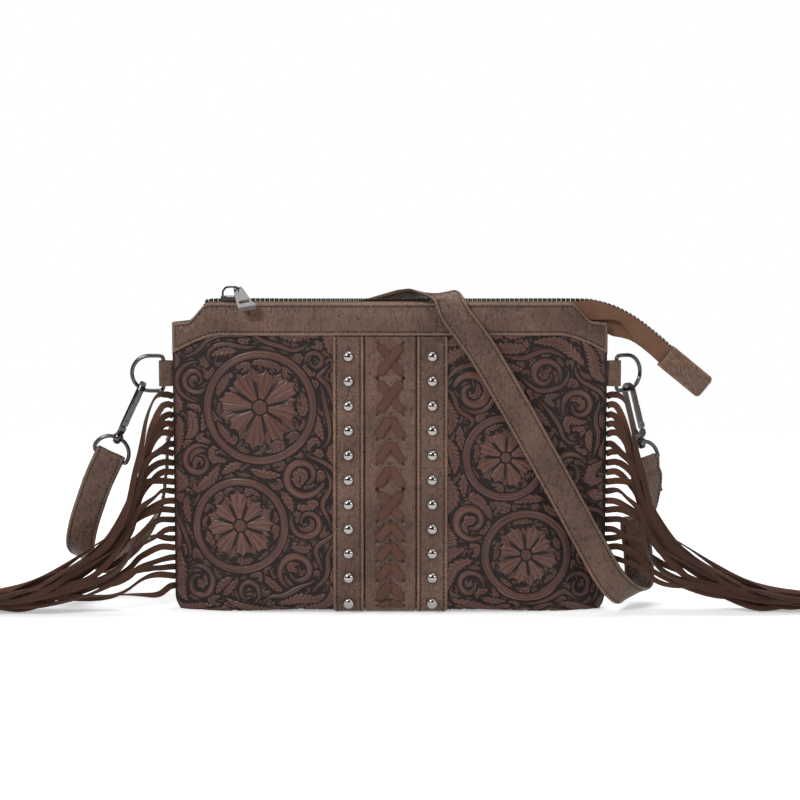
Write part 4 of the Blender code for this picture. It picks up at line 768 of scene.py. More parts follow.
# Centre strips: two turned-edge bands with a row of stitches down each side and domed studs between.
# The studs are one mesh a side, which stands for the eleven solids of that side.
STUD_DIAMETER = 0.0070
STUD_RISE = 0.0028
STUD_COUNT = 11
STUD_FIRST = 0.0130


def make_strip(label, side):
    edges = sorted((side * STRIP_INNER + CENTRE_SHIFT, side * STRIP_OUTER + CENTRE_SHIFT))
    u, v = np.meshgrid(np.linspace(*edges, 58), np.linspace(YOKE_DEPTH + GAP, SEAM, 400))
    distance = np.minimum(u - edges[0], edges[1] - u)
    pucker = 0.00010 * np.cos(v * 2 * np.pi / STITCH_PITCH)
    height = edge_profile(distance) + pucker * np.exp(-(((distance - STITCH_INSET) / 0.0009) ** 2))
    piece = sheet(f"strip_{label}", front, u, v, height, GAP, edge_fields(distance))
    dress(piece, leather, "smooth_leather", "root", f"stud_strip_{label}")
    line = np.linspace(YOKE_DEPTH + 0.001, SEAM - 0.004, 400)
    for number, edge in enumerate((edges[0] + STITCH_INSET, edges[1] - STITCH_INSET)):
        sewn_line(f"strip_{label}_stitches_{number}", front, np.full(400, edge), line, STACK - 0.0003)
    return sum(edges) / 2


def plated_metal(name, light, dark, rough):
    made, shader, place = start(name, metallic=1.0)
    smudge = place.noise(240, 4, 0.6)
    scratch = place.stretched((1.0, 6.0, 1.0)).noise(900, 3)
    finish(
        shader,
        colour=smudge.colour(dark, light),
        roughness=rough + smudge * 0.12 + scratch.clear(0.60, 0.75) * 0.10,
        normal=scratch.bump(0.00001, 0.5),
    )
    return made


gunmetal = plated_metal("gunmetal", (0.135, 0.125, 0.12), (0.055, 0.05, 0.048), 0.12)
dome_metal = plated_metal("dome gunmetal", (0.40, 0.38, 0.365), (0.27, 0.255, 0.245), 0.05)


def turned(corners, faces, profile, seat, out, count=24):
    """Adds a profile of (radius, height) turned about an outward axis."""
    side = np.cross(out, (1.0, 0.3, 0.2))
    side /= np.linalg.norm(side)
    other = np.cross(out, side)
    base = len(corners)
    angles = np.arange(count) * 2 * np.pi / count
    for radius, height in profile:
        corners += [seat + out * height + radius * (np.cos(a) * side + np.sin(a) * other) for a in angles]
    faces += tube_faces(base, len(profile), count)


def make_studs(label, u):
    last = STRAIGHT + BEND * 0.32
    pitch = (last - YOKE_DEPTH - STUD_FIRST) / (STUD_COUNT - 1)
    radius = STUD_DIAMETER / 2
    profile = [(radius - 0.0001, 0.0), (radius, 0.00025)]
    for angle in np.linspace(0, np.pi / 2 - 0.02, 12):
        profile.append((radius * np.cos(angle), 0.0005 + (STUD_RISE - 0.0005) * np.sin(angle)))
    corners, faces = [], []
    for index in range(STUD_COUNT):
        v = YOKE_DEPTH + STUD_FIRST + index * pitch
        seat, above = front(u, v, STACK - 0.0003), front(u, v, STACK)
        out = (above - seat) / np.linalg.norm(above - seat)
        bend = np.clip((v + radius - STRAIGHT) / radius, 0, 1)
        turned(corners, faces, profile, seat + out * (GAP + 0.0006 * bend), out)
    piece = solid_mesh(f"studs_{label}", corners, faces)
    nodes = [f"stud_{label}_{index + 1:02d}" for index in range(STUD_COUNT)]
    dress(piece, dome_metal, "gunmetal", "root", *nodes)


for strip_label, strip_side in (("left", -1), ("right", 1)):
    make_studs(strip_label, make_strip(strip_label, strip_side))

# Lace panel: a smooth panel with small holes, where flat suede laces cross it and dive in.
# The pairs lie closer together towards the foot, and three of them hold crossed strands.
LACE_STRAND = 0.0056
LACE_THICKNESS = 0.0011
LACE_COLUMN = 0.0085
LACE_TOP = 0.0035
# Share of the column that each pair takes, and whether its two strands cross.
LACE_PAIRS = [
    (0.137, True), (0.139, True), (0.094, False), (0.094, False), (0.092, False), (0.125, True),
    (0.076, False), (0.076, False), (0.076, False), (0.070, False), (0.030, False),
]
LACE_LIGHT = (0.125, 0.060, 0.040)
LACE_DARK = (0.066, 0.030, 0.020)
HOLE_RADIUS = 0.0009
LACE_LEFT = CENTRE_SHIFT - LACE_WIDTH / 2
LACE_RIGHT = CENTRE_SHIFT + LACE_WIDTH / 2


def suede_finish(name, light, dark, spread):
    """Spread is how far one strand's colour lies from the next one's."""
    made, shader, place = start(name, sheen=0.12, sheen_roughness=0.5, specular=0.15)
    nap = place.noise(900, 4, 0.7)
    cloud = place.noise(60, 3)
    strand = place.field("strand")
    tone = (nap * 0.6 + cloud * 0.4 + (strand - 0.5) * spread + place.field("edge") * 0.15).clear(0.05, 0.95)
    # Painted shade: the groove field lays near black over the strands where they dive into holes and along
    # their edges.
    colour = (place.field("groove") * 0.8).over(tone.colour(dark, light), (0.012, 0.005, 0.003))
    finish(shader, colour=colour, roughness=0.80 + nap * 0.15, normal=nap.bump(0.00018))
    return made


suede = suede_finish("lace suede", LACE_LIGHT, LACE_DARK, 0.2)
laces, holes = [], []
upper = YOKE_DEPTH + LACE_TOP
for share, crossed in LACE_PAIRS:
    lower = upper + share * (STRAIGHT + 0.4 * BEND - YOKE_DEPTH - LACE_TOP)
    for side in (1, -1):
        foot = CENTRE_SHIFT + side * LACE_COLUMN
        head = CENTRE_SHIFT - side * (0.98 if crossed else 0.06) * LACE_COLUMN
        laces.append((foot, lower - 0.0008, head, upper + 0.0010, side))
        holes.append((foot, lower))
        if crossed:
            holes.append((head, upper + 0.0004))
    if not crossed:
        holes.append((CENTRE_SHIFT, upper - 0.0004))
    upper = lower

u, v = np.meshgrid(np.linspace(LACE_LEFT, LACE_RIGHT, 74), np.linspace(YOKE_DEPTH + GAP, SEAM, 420))
distance = np.minimum(u - LACE_LEFT, LACE_RIGHT - u)
height = np.full(u.shape, STACK - 0.0002) - 0.0005 * (1 - smooth(distance / 0.0010))
# Painted shade darkens the panel's long edges and its holes, and a painted highlight lies as a light speck
# below each hole.
rub, groove = np.zeros(u.shape), 0.8 * np.exp(-((distance / 0.0006) ** 2))
for across, down in holes:
    reach = np.hypot(u - across, v - down)
    dip = np.exp(-((reach / HOLE_RADIUS) ** 2))
    height -= 0.0012 * dip
    groove = np.maximum(groove, dip)
    below = np.hypot((u - across) / 1.6, v - down - 1.5 * HOLE_RADIUS)
    rub = np.maximum(rub, np.exp(-((below / (0.6 * HOLE_RADIUS)) ** 2)))
fields = {"rub": np.pad(rub, 1), "groove": np.pad(groove, 1, constant_values=0.9)}
lace_leather = sheet("lace_leather", front, u, v, height, GAP, fields)
dress(lace_leather, leather, "smooth_leather", "root", "lace_panel")


def make_lace(number, foot, lower, head, upper, side):
    """One strand: it comes out of a hole, lies flat and goes back in, a little higher if it crosses."""
    share = np.linspace(0, 1, 26)
    ring = np.linspace(0, 2 * np.pi, 14, endpoint=False)
    along = np.array([head - foot, upper - lower])
    across = np.array([-along[1], along[0]]) / np.linalg.norm(along)
    width = LACE_STRAND / 2 * (0.30 + 0.70 * smooth(share / 0.16) * smooth((1 - share) / 0.16))
    rise = STACK + (0.0007 if side < 0 else 0.0) * np.sin(np.pi * share)
    rise = rise - 0.0014 * (1 - smooth(share / 0.10)) - 0.0014 * (1 - smooth((1 - share) / 0.10))
    flat = np.sign(np.cos(ring)) * np.abs(np.cos(ring)) ** 0.6
    u = foot + share[:, None] * along[0] + width[:, None] * flat * across[0]
    v = lower + share[:, None] * along[1] + width[:, None] * flat * across[1]
    h = rise[:, None] + LACE_THICKNESS / 2 * (1 + np.sin(ring)) * 0.85 - 0.0001
    strand = np.full(u.shape, (number * 0.37) % 1.0)
    # Painted shade: the strand goes dark where it dives into its holes and along its two edges.
    tucks = 1 - smooth(share / 0.10) * smooth((1 - share) / 0.10)
    groove = np.maximum(tucks[:, None], 0.9 * np.abs(np.cos(ring)) ** 12 * np.ones(u.shape))
    return grid_piece(f"lace_{number:02d}", front(u, v, h), {"strand": strand, "groove": groove}, closed=True)


for number, lace in enumerate(laces):
    dress(make_lace(number, *lace), suede, "suede", "root")

# Zip: two woven tapes sewn in under the yokes, with a row of small black teeth along each.
# Past the right shoulder the chain is free, and its tapes fold down below the teeth.
CHAIN_WIDTH = 0.0044
CHAIN_HEIGHT = 0.0024
CHAIN_RISE = 0.0014
TOOTH_PITCH = 0.0030
TOOTH_OUTLINE = [(-1, -0.5), (-0.5, -1), (0.5, -1), (1, -0.5), (1, 0.5), (0.5, 1), (-0.5, 1), (-1, 0.5)]
TAPE_THICKNESS = 0.0006
TAPE_DROP = 0.0012
ZIP_START = HALF - 0.0245
ZIP_LEAVE = HALF - 0.0220
TAIL_LENGTH = 0.0715
TAIL_FALL = 0.0374
TAIL_CURVE = [(0, 0), (0.204, 0.03), (0.404, 0.15), (0.594, 0.36), (0.793, 0.66), (0.892, 0.83), (1, 1)]
TAIL_TAPE = 0.0125
CHAIN_Z = HEIGHT + CHAIN_RISE


def curve_through(points, step):
    """Points about one step apart along a smooth curve through rows of numbers."""
    given = np.array(points, dtype=float)
    padded = np.vstack([2 * given[0] - given[1], given, 2 * given[-1] - given[-2]])
    found = []
    for index in range(1, len(padded) - 2):
        a, b, c, d = padded[index - 1 : index + 3]
        pieces = max(1, int(np.ceil(np.linalg.norm((c - b)[:3]) / step)))
        t = (np.arange(pieces) / pieces)[:, None]
        found.append(
            0.5 * (2 * b + (c - a) * t + (2 * a - 5 * b + 4 * c - d) * t**2 + (3 * b - a - 3 * c + d) * t**3)
        )
    return np.vstack([*found, given[-1:]])


def zip_frames(step):
    """Centres, tangents and downward directions along the teeth."""
    points = [(-ZIP_START - 0.004, 0, CHAIN_Z - 0.0022), (-ZIP_START + 0.004, 0, CHAIN_Z)]
    points += [(x, 0, CHAIN_Z) for x in (-0.06, 0.0, 0.06)]
    points += [(ZIP_LEAVE + TAIL_LENGTH * share, 0, CHAIN_Z - TAIL_FALL * drop) for share, drop in TAIL_CURVE]
    fine = curve_through(points, 0.0005)
    length = running(fine)[-1]
    centres = resampled(fine, np.linspace(0, length, round(length / step) + 1))
    tangents = unit(np.gradient(centres, axis=0))
    return centres, tangents, np.stack([tangents[:, 2], 0 * tangents[:, 0], -tangents[:, 0]], 1)


def black_metal():
    made, shader, place = start("black teeth", metallic=0.8)
    wear = place.noise(700, 3)
    colour = wear.colour((0.012, 0.011, 0.012), (0.060, 0.052, 0.050))
    finish(shader, colour=colour, roughness=0.25 + wear * 0.25)
    return made


def make_teeth():
    centres, tangents, downs = zip_frames(TOOTH_PITCH / 2)
    corners, faces = [], []
    for index in range(1, len(centres) - 1):
        side = 1 if index % 2 else -1
        centre, tangent, down = centres[index], tangents[index], downs[index]
        low, high = -0.0006 * side, side * CHAIN_WIDTH / 2
        for reach, wide, tall in ((low, 0.55, 0.8), (0.35 * (low + high), 0.86, 1.0), (high, 0.80, 0.9)):
            half, rise = TOOTH_PITCH * 0.27 * wide, CHAIN_HEIGHT / 2 * tall * (0.80 if side > 0 else 1.0)
            middle = centre + np.array([0, reach, 0])
            for a, b in TOOTH_OUTLINE:
                corners.append(middle + a * half * tangent + b * rise * down)
        base = len(corners) - 24
        faces += tube_faces(base, 3, 8)
        faces += [tuple(base + k for k in range(8)), tuple(base + 16 + k for k in range(8))]
    return solid_mesh("zip_teeth", corners, faces)


dress(make_teeth(), black_metal(), "zip_metal", "root", "zip_chain")


def woven_tape():
    made, shader, place = start("zip tape", sheen=0.10, specular=0.2)
    values = {"Vector": place, "Scale": 620.0, "Distortion": 1.0, "Detail": 1.0}
    twill = place.node("TexWave", {"bands_direction": "DIAGONAL"}, values)
    cloud = place.noise(120, 3)
    tone = (twill * 0.6 + cloud * 0.3 + place.noise(1200, 2) * 0.3).clear(0.15, 0.9)
    colour = tone.colour((0.066, 0.029, 0.017), (0.190, 0.096, 0.058))
    finish(shader, colour=colour, roughness=0.78 + cloud * 0.1, normal=twill.bump(0.00012))
    return made


weave = woven_tape()
CURL_PLACE = 0.1500
CURL_LENGTH = 0.0105


def make_tape(label, side):
    """Level under the yoke on the bag. On the tail it hangs from the teeth, and one edge curls out."""
    centres, tangents, downs = zip_frames(0.0018)
    free = smooth((centres[:, 0] - ZIP_LEAVE + 0.004) / 0.016)[:, None]
    y = np.array([0, side, 0])
    inner = centres + y * (CHAIN_WIDTH / 2 + GAP) - np.array([0, 0, TAPE_DROP])
    x = centres[:, 0]
    edge = np.stack([x, side * half_depth(x, HEIGHT), np.full(len(x), HEIGHT - TAPE_DROP)], 1)
    curl = np.exp(-(((x - CURL_PLACE) / CURL_LENGTH) ** 2))[:, None]
    width = TAIL_TAPE * (1 + (0.42 if side > 0 else -0.42) * curl)
    out = CHAIN_WIDTH / 2 + GAP + TAPE_THICKNESS / 2
    rings = []
    for share in np.linspace(0, 1, 14):
        spread = out * (1 - share) ** 1.6 + 0.0008 * share
        hung = centres - 0.0001 * downs + downs * width * share + y * spread
        hung = hung + y * 0.0030 * curl * share**3
        rings.append((inner * (1 - share) + edge * share) * (1 - free) + hung * free)
    inner, outer = rings[0], rings[-1]
    surface = np.stack(rings, 1)
    normal = unit(np.cross(tangents, outer - inner))
    thick = normal[:, None] * TAPE_THICKNESS / 2
    points = np.concatenate([surface - thick, (surface + thick)[:, ::-1]], 1)
    dress(grid_piece(f"tape_{label}", points, closed=True), weave, "zip_tape", "root", f"zip_tape_{label}")


make_tape("front", -1)
make_tape("back", 1)

# Slider and pull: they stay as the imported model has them, with a small rounded edge and plating.
# Their own meshes are dressed, so they ride their own bodies.
nickel = plated_metal("nickel", (0.130, 0.123, 0.119), (0.075, 0.071, 0.069), 0.24)


def plate_over(node, material, width=0.00025, segments=3):
    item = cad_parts[node]
    item.data.materials.clear()
    item.data.materials.append(material)
    rounding = item.modifiers.new("rounding", "BEVEL")
    rounding.width = width
    rounding.segments = segments
    rounding.limit_method = "ANGLE"
    rounding.angle_limit = np.radians(35)
    item.modifiers.new("shading", "WEIGHTED_NORMAL")


plate_over("zip_slider", gunmetal)
plate_over("pull_tab", nickel)


# Lining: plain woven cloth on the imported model's own inner bag, inside the panels.
def lining_cloth():
    made, shader, place = start("lining cloth")
    threads = place.noise(1500, 2)
    colour = threads.colour((0.02, 0.012, 0.008), (0.06, 0.04, 0.028))
    finish(shader, colour=colour, roughness=0.85 + threads * 0.1, normal=threads.bump(0.0001))
    return made


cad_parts["lining"].data.materials.clear()
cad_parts["lining"].data.materials.append(lining_cloth())

# End tab and side tabs: smooth leather folded in two, over the zip's end and the rings' bars.
# The end tab's two layers part round the teeth, and their cut edges show along its sides.
END_TAB_LENGTH = 0.0340
END_TAB_WIDTH = 0.0160
END_TAB_WALL = 0.0016
END_TAB_ENTRY = 0.0100
END_TAB_CORNER = 0.0030


def make_end_tab():
    centres, tangents, downs = zip_frames(0.002)
    origin = centres[-1] + downs[-1] * TAIL_TAPE / 2 - tangents[-1] * END_TAB_ENTRY
    hollow = CHAIN_WIDTH / 2 + GAP
    turn = np.linspace(-np.pi / 2, np.pi / 2, 11)
    run = np.linspace(0, 1, 16)[:-1]
    rest = 0.0018
    fold = END_TAB_LENGTH - rest - END_TAB_WALL
    taper = smooth((run * fold - END_TAB_ENTRY) / 0.012)
    outside = hollow + END_TAB_WALL - 0.0007 * taper
    inside = hollow * (1 - taper) + 0.0003
    blunt = outside[-1]
    out_x = np.concatenate([run * fold, fold + (rest + END_TAB_WALL) * np.cos(turn), (run * fold)[::-1]])
    out_y = np.concatenate([-outside, blunt * np.sin(turn), outside[::-1]])
    in_x = np.concatenate([run * fold, fold + 0.4 * rest * np.cos(turn), (run * fold)[::-1]])
    in_y = np.concatenate([-inside, inside[-1] * np.sin(turn), inside[::-1]])
    mid_x, mid_y = (out_x + in_x) / 2, (out_y + in_y) / 2
    rows, rim_highlights = [], []
    for height in np.sin(np.linspace(-np.pi / 2, np.pi / 2, 33)):
        near = (1 - abs(height)) * END_TAB_WIDTH / 2
        thick = np.sqrt(max(0.0, 1 - (1 - min(near / (END_TAB_WALL / 2), 1)) ** 2))
        x = np.concatenate([mid_x + (out_x - mid_x) * thick, (mid_x + (in_x - mid_x) * thick)[::-1]])
        y = np.concatenate([mid_y + (out_y - mid_y) * thick, (mid_y + (in_y - mid_y) * thick)[::-1]])
        y = y * (1 - 0.30 * (height + 0.25) ** 2)
        past = np.clip((x - END_TAB_LENGTH + END_TAB_CORNER) / END_TAB_CORNER, 0, 1)
        half = END_TAB_WIDTH / 2 - END_TAB_CORNER * (1 - np.sqrt(1 - past**2))
        place = origin + x[:, None] * tangents[-1] + y[:, None] * np.array([0, 1, 0])
        rows.append(place - (height * half)[:, None] * downs[-1])
        # Painted highlight along the tab's two long edges and its open end.
        rim_highlights.append(np.full(len(x), np.exp(-((near / 0.0011) ** 2))) + np.exp(-((x / 0.0010) ** 2)))
    piece = grid_piece("end_tab_leather", np.array(rows), {"rub": 0.8 * np.array(rim_highlights)}, closed=True)
    return dress(piece, leather, "smooth_leather", "root", "zip_end_tab")


make_end_tab()
for tab in ("side_tab_left", "side_tab_right"):
    plate_over(tab, leather, 0.0004, 4)

# Rings, hooks, gates and swivel loops: dark plated wire and castings.
# The rings and loops are drawn anew as round wire, and the hooks and gates keep their packed form.
WIRE = 0.0026
RING_RADIUS = 0.0113
RING_BAR = 0.0090
BOSS_LENGTH = 0.0040
BOSS_DIAMETER = 0.0066
LOOP_HALF = 0.0116
LOOP_RISE = 0.0134
HOOK_LENGTH = 0.0380
HOOK_BAR = 0.0022
NECK_WIRE = 0.0026
HOLD = 0.0012
TAB_DROP = 0.0460
TAB_REACH = 0.0090
TAB_WALL = 0.0014


class Side:
    """Where the ring, hook and loop of one side are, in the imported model's rest pose."""

    def __init__(self, label, sign, ring_turn, hang, cross, jaw_turn):
        self.label = label
        self.bar = Vector((sign * (HALF + GAP + TAB_REACH - WIRE / 2 - GAP - TAB_WALL), 0, HEIGHT - TAB_DROP))
        turn, angle = np.radians(ring_turn), np.radians(cross)
        self.out = Vector((sign * np.cos(turn), np.sin(turn), 0))
        reach = RING_BAR + RING_RADIUS * np.sin(angle)
        crossing = self.bar + self.out * reach + Vector((0, 0, -RING_RADIUS * np.cos(angle)))
        self.up = Vector((-sign * hang[0], hang[1], hang[2])).normalized()
        wire_way = (self.out * np.cos(angle) + Vector((0, 0, 1)) * np.sin(angle)).normalized()
        plane = self.up.cross(wire_way).normalized()
        plane = plane if plane.y < 0 else -plane
        self.jaw = (Matrix.Rotation(np.radians(jaw_turn), 3, self.up) @ plane).normalized()
        self.flat = self.up.cross(self.jaw)
        self.base = crossing - self.up * (HOOK_LENGTH - HOOK_BAR - HOLD - WIRE / 2)
        self.foot = self.base - self.up * (GAP + BOSS_LENGTH / 2)
        self.loop_bar = self.foot - self.up * LOOP_RISE
        level = self.out * sign
        self.across = (level - self.up * self.up.dot(level)).normalized()


def wire_piece(name, points, diameter):
    """A smooth closed wire as a mesh."""
    line = np.array([tuple(p) for p in points])
    closed = curve_through(np.vstack([line, line[:1]]), 0.0007)[:-1]
    tangent = unit(np.roll(closed, -1, axis=0) - np.roll(closed, 1, axis=0))
    middle = closed - closed.mean(0)
    normal = np.linalg.svd(middle, full_matrices=False)[2][2]
    side = np.cross(tangent, normal)
    angles = np.linspace(0, 2 * np.pi, 18, endpoint=False)[None, :, None]
    rings = closed[:, None] + diameter / 2 * (np.cos(angles) * side[:, None] + np.sin(angles) * normal)
    rings = np.vstack([rings, rings[:1]])
    return grid_piece(name, rings, closed=True)


def make_ring(side):
    centre = side.bar + side.out * RING_BAR
    corner = 0.0025
    path = [side.bar + Vector((0, 0, s * (RING_RADIUS - corner))) for s in (-1, 0, 1)]
    path.append(side.bar + side.out * 0.0008 + Vector((0, 0, RING_RADIUS - 0.0008)))
    path.append(side.bar + side.out * corner + Vector((0, 0, RING_RADIUS)))
    for angle in np.linspace(np.pi / 2, -np.pi / 2, 13):
        lift = Vector((0, 0, RING_RADIUS * np.sin(angle)))
        path.append(centre + side.out * RING_RADIUS * np.cos(angle) + lift)
    path.append(side.bar + side.out * corner - Vector((0, 0, RING_RADIUS)))
    path.append(side.bar + side.out * 0.0008 - Vector((0, 0, RING_RADIUS - 0.0008)))
    piece = wire_piece(f"d_ring_{side.label}", path, WIRE)
    dress(piece, gunmetal, "gunmetal", f"ring_{side.label}", f"ring_{side.label}")


def make_loop(side):
    corner = 0.0012
    path = [side.loop_bar + side.across * x for x in (corner - LOOP_HALF, 0, LOOP_HALF - corner)]
    for angle in np.linspace(0, np.pi, 13):
        lift = 0.0026 + (LOOP_RISE - 0.0026) * np.sin(angle)
        path.append(side.loop_bar + side.across * (LOOP_HALF * np.cos(angle)) + side.up * lift)
    piece = wire_piece(f"loop_wire_{side.label}", path, WIRE)
    dress(piece, gunmetal, "gunmetal", f"loop_{side.label}", f"swivel_loop_{side.label}")
    half, radius = BOSS_LENGTH / 2, BOSS_DIAMETER / 2
    lower = [(NECK_WIRE / 2 + GAP, -half), (radius - 0.0005, -half), (radius, 0.0005 - half)]
    profile = lower + [(reach, -height) for reach, height in reversed(lower)]
    corners, faces = [], []
    turned(corners, faces, profile, np.array(side.foot), np.array(side.up))
    boss = solid_mesh(f"loop_boss_{side.label}", corners, faces)
    dress(boss, gunmetal, "gunmetal", f"loop_{side.label}", f"swivel_loop_{side.label}")


sides = [Side("left", -1, 0, (0.43, 0.0, 0.903), 30, 12), Side("right", 1, 35, (0.24, 0.0, 0.97), 8, -6)]
for ring_side in sides:
    make_ring(ring_side)
    make_loop(ring_side)
    for part in ("hook", "gate"):
        plate_over(f"{part}_{ring_side.label}", gunmetal, 0.0003, 3)
    plate_over(f"gate_pin_{ring_side.label}", gunmetal, 0.0001, 2)

# Strap: one long band of smooth leather with turned edges, sewn along both sides. Each end is
# folded round a swivel loop. It lies as the bag was put down: behind it, over the top and in front.
STRAP_WIDTH = 0.0195
STRAP_THICKNESS = 0.0020
STRAP_FOLD = 0.0220


def fold_rows(side, reverse):
    radius = WIRE / 2 + GAP + STRAP_THICKNESS / 2
    lay = (STRAP_THICKNESS + GAP + 0.0001) / 2
    behind = side.up.cross(side.across)
    behind = behind if behind.y > 0 else -behind
    local = [(lay, -STRAP_FOLD), (lay, -STRAP_FOLD * 0.6), (lay, -0.0062), (0.92 * radius, -0.0020)]
    local += [(radius * np.cos(a), radius * np.sin(a)) for a in np.linspace(0, np.pi, 6)]
    local += [(-0.92 * radius, -0.0020), (-lay, -0.0062), (-lay, -STRAP_FOLD * 0.6)]
    rows = [(*(side.loop_bar + behind * n + side.up * a), *side.across) for n, a in local]
    return rows[::-1] if reverse else rows


def strap_rows(left, right):
    """Place and width direction of the strap's middle line, end to end."""
    lb, rb = left.loop_bar, right.loop_bar
    crest = CHAIN_Z + CHAIN_HEIGHT / 2 + STRAP_THICKNESS / 2 + 0.0012

    def over(share, v, h, w):
        return (*front(share * HALF, v, STACK + RELIEF + STRAP_THICKNESS / 2 + h), *w)

    hang = [
        (lb.x - 0.0115, lb.y + 0.0015, lb.z - 0.026, 0.90, 0.00, -0.43),
        (lb.x - 0.0190, lb.y + 0.0070, lb.z - 0.047, 0.92, 0.05, -0.38),
        (lb.x - 0.0222, lb.y + 0.0130, lb.z - 0.063, 0.86, 0.05, -0.50),
        (lb.x - 0.0195, lb.y + 0.0220, lb.z - 0.073, 0.80, -0.10, -0.58),
        (lb.x - 0.0120, lb.y + 0.0330, lb.z - 0.077, 0.75, -0.40, -0.52),
        (lb.x - 0.0010, lb.y + 0.0430, lb.z - 0.073, 0.60, -0.72, -0.34),
        (lb.x + 0.0130, lb.y + 0.0490, lb.z - 0.063, 0.35, -0.92, -0.15),
        (lb.x + 0.0260, lb.y + 0.0500, lb.z - 0.043, 0.15, -0.98, 0.00),
        (lb.x + 0.0310, lb.y + 0.0480, lb.z - 0.015, 0.12, -0.99, 0.00),
        (lb.x + 0.0350, lb.y + 0.0440, lb.z + 0.012, 0.15, -0.97, -0.15),
    ]
    behind = [
        (-0.86 * HALF, 0.0370, 0.695 * HEIGHT, 0.30, -0.80, -0.50),
        (-0.62 * HALF, 0.0285, 0.805 * HEIGHT, 0.42, -0.35, -0.80),
        (-0.32 * HALF, 0.0215, 0.905 * HEIGHT, 0.50, -0.02, -0.86),
        (0.00 * HALF, 0.0160, crest - 0.0085, 0.66, 0.25, -0.70),
        (0.12 * HALF, 0.0090, crest - 0.0015, 0.78, 0.42, -0.35),
    ]
    top = [
        (0.205 * HALF, -0.0005, crest, 0.86, 0.50, 0.00),
        (0.260 * HALF, -0.0085, crest - 0.0015, 0.88, 0.38, 0.28),
    ]
    face = [
        over(0.300, 0.0080, 0.0012, (0.90, 0.10, 0.43)),
        over(0.415, 0.0300, 0.0016, (0.89, 0.02, 0.45)),
        over(0.550, 0.0620, 0.0022, (0.89, 0.00, 0.45)),
        over(0.660, 0.0900, 0.0035, (0.89, 0.00, 0.45)),
        over(0.765, 0.1180, 0.0060, (0.89, 0.00, 0.45)),
    ]
    turn = [
        (0.885 * HALF, -0.0265, 0.0545, 0.88, 0.02, 0.46),
        (1.000 * HALF, -0.0260, 0.0260, 0.87, 0.06, 0.48),
        (1.085 * HALF, -0.0160, 0.0130, 0.87, 0.20, 0.44),
        (1.145 * HALF, -0.0010, 0.0105, 0.90, 0.22, 0.38),
        (1.175 * HALF, 0.0130, 0.0170, 0.94, 0.15, 0.30),
        (1.175 * HALF, 0.0215, 0.0330, 0.97, 0.10, 0.18),
        (1.160 * HALF, 0.0215, 0.0540, 0.99, 0.05, 0.08),
    ]
    rise = [(rb.x + 0.0010, rb.y + 0.0020, rb.z - 0.0330, *right.across)]
    return [*fold_rows(left, False), *hang, *behind, *top, *face, *turn, *rise, *fold_rows(right, True)]


rows = curve_through(strap_rows(*sides), 0.0012)
centres = rows[:, :3]
tangents = unit(np.gradient(centres, axis=0))
wide = unit(rows[:, 3:] - tangents * (rows[:, 3:] * tangents).sum(1, keepdims=True))
thick = np.cross(tangents, wide)
strap_stretch = np.linspace(-1, 1, 25)
edge_distance = (1 - np.abs(strap_stretch)) * STRAP_WIDTH / 2
half_thick = STRAP_THICKNESS / 2 * np.sqrt(np.clip(1 - (1 - edge_distance / 0.0010).clip(0, 1) ** 2, 0.08, 1))
half_thick -= 0.00022 * np.exp(-(((edge_distance - 0.0023) / 0.0005) ** 2))
line = np.arange(len(centres))[:, None]
crumple = 0.00014 * np.sin(line / 2.3 + 1.7 * np.sin(line / 9.0) + 4 * strap_stretch)
crumple = crumple * (1 - strap_stretch**2) ** 0.7
crumple *= 0.5 + 0.5 * np.sin(line / 31.0)
offset = wide[:, None] * (strap_stretch * STRAP_WIDTH / 2)[None, :, None]
outer = centres[:, None] + offset + thick[:, None] * (half_thick[None] + crumple)[..., None]
inner = centres[:, None] + offset + thick[:, None] * (crumple - half_thick[None])[..., None]
points = np.concatenate([outer, inner[:, ::-1]], 1)
ends = points.mean(1, keepdims=True).repeat(50, 1)
points = np.concatenate([ends[:1], points, ends[-1:]])
# Painted highlight on the rounded rims, and painted shade in the stitch lines and at the very edges.
rub = 0.9 * np.exp(-(((edge_distance - 0.0010) / 0.0006) ** 2))
groove = 0.75 * np.exp(-(((edge_distance - 0.0023) / 0.00045) ** 2)) + 0.5 * (edge_distance < 0.0002)
fields = {"rub": rub, "groove": groove}
for field, values in fields.items():
    fields[field] = np.tile(np.append(values, values[::-1]), (len(points), 1))
strap_leather = grid_piece("strap_leather", points, fields, closed=True)
dress(strap_leather, leather, "smooth_leather", "root", "strap")
for number, (edge, face) in enumerate(((-1, 1), (1, 1), (-1, -1), (1, -1))):
    shift = edge * (STRAP_WIDTH / 2 - 0.0023)
    sewn = centres + wide * shift + thick * face * (STRAP_THICKNESS / 2 - 0.00012)
    stitches(f"strap_stitches_{number}", sewn, thick * face)

# Fringes: one strip of suede a side, its header sewn into the side seam and the rest cut into strands.
# The strands leave the seam one above another, bend over and run along the floor.
STRAND_PITCH = 0.0062
STRAND_WIDTH = 0.0050
STRAND_THICKNESS = 0.0009
STRAND_LENGTH = 0.215
FRINGE_DROP = 0.0580
HEADER_DEPTH = 0.0080
HEADER_THICKNESS = 0.0014
LANE_PITCH = 0.0012
LANE_RUN = 0.014
fringe_suede = suede_finish("fringe suede", (0.110, 0.051, 0.032), (0.040, 0.017, 0.011), 0.7)


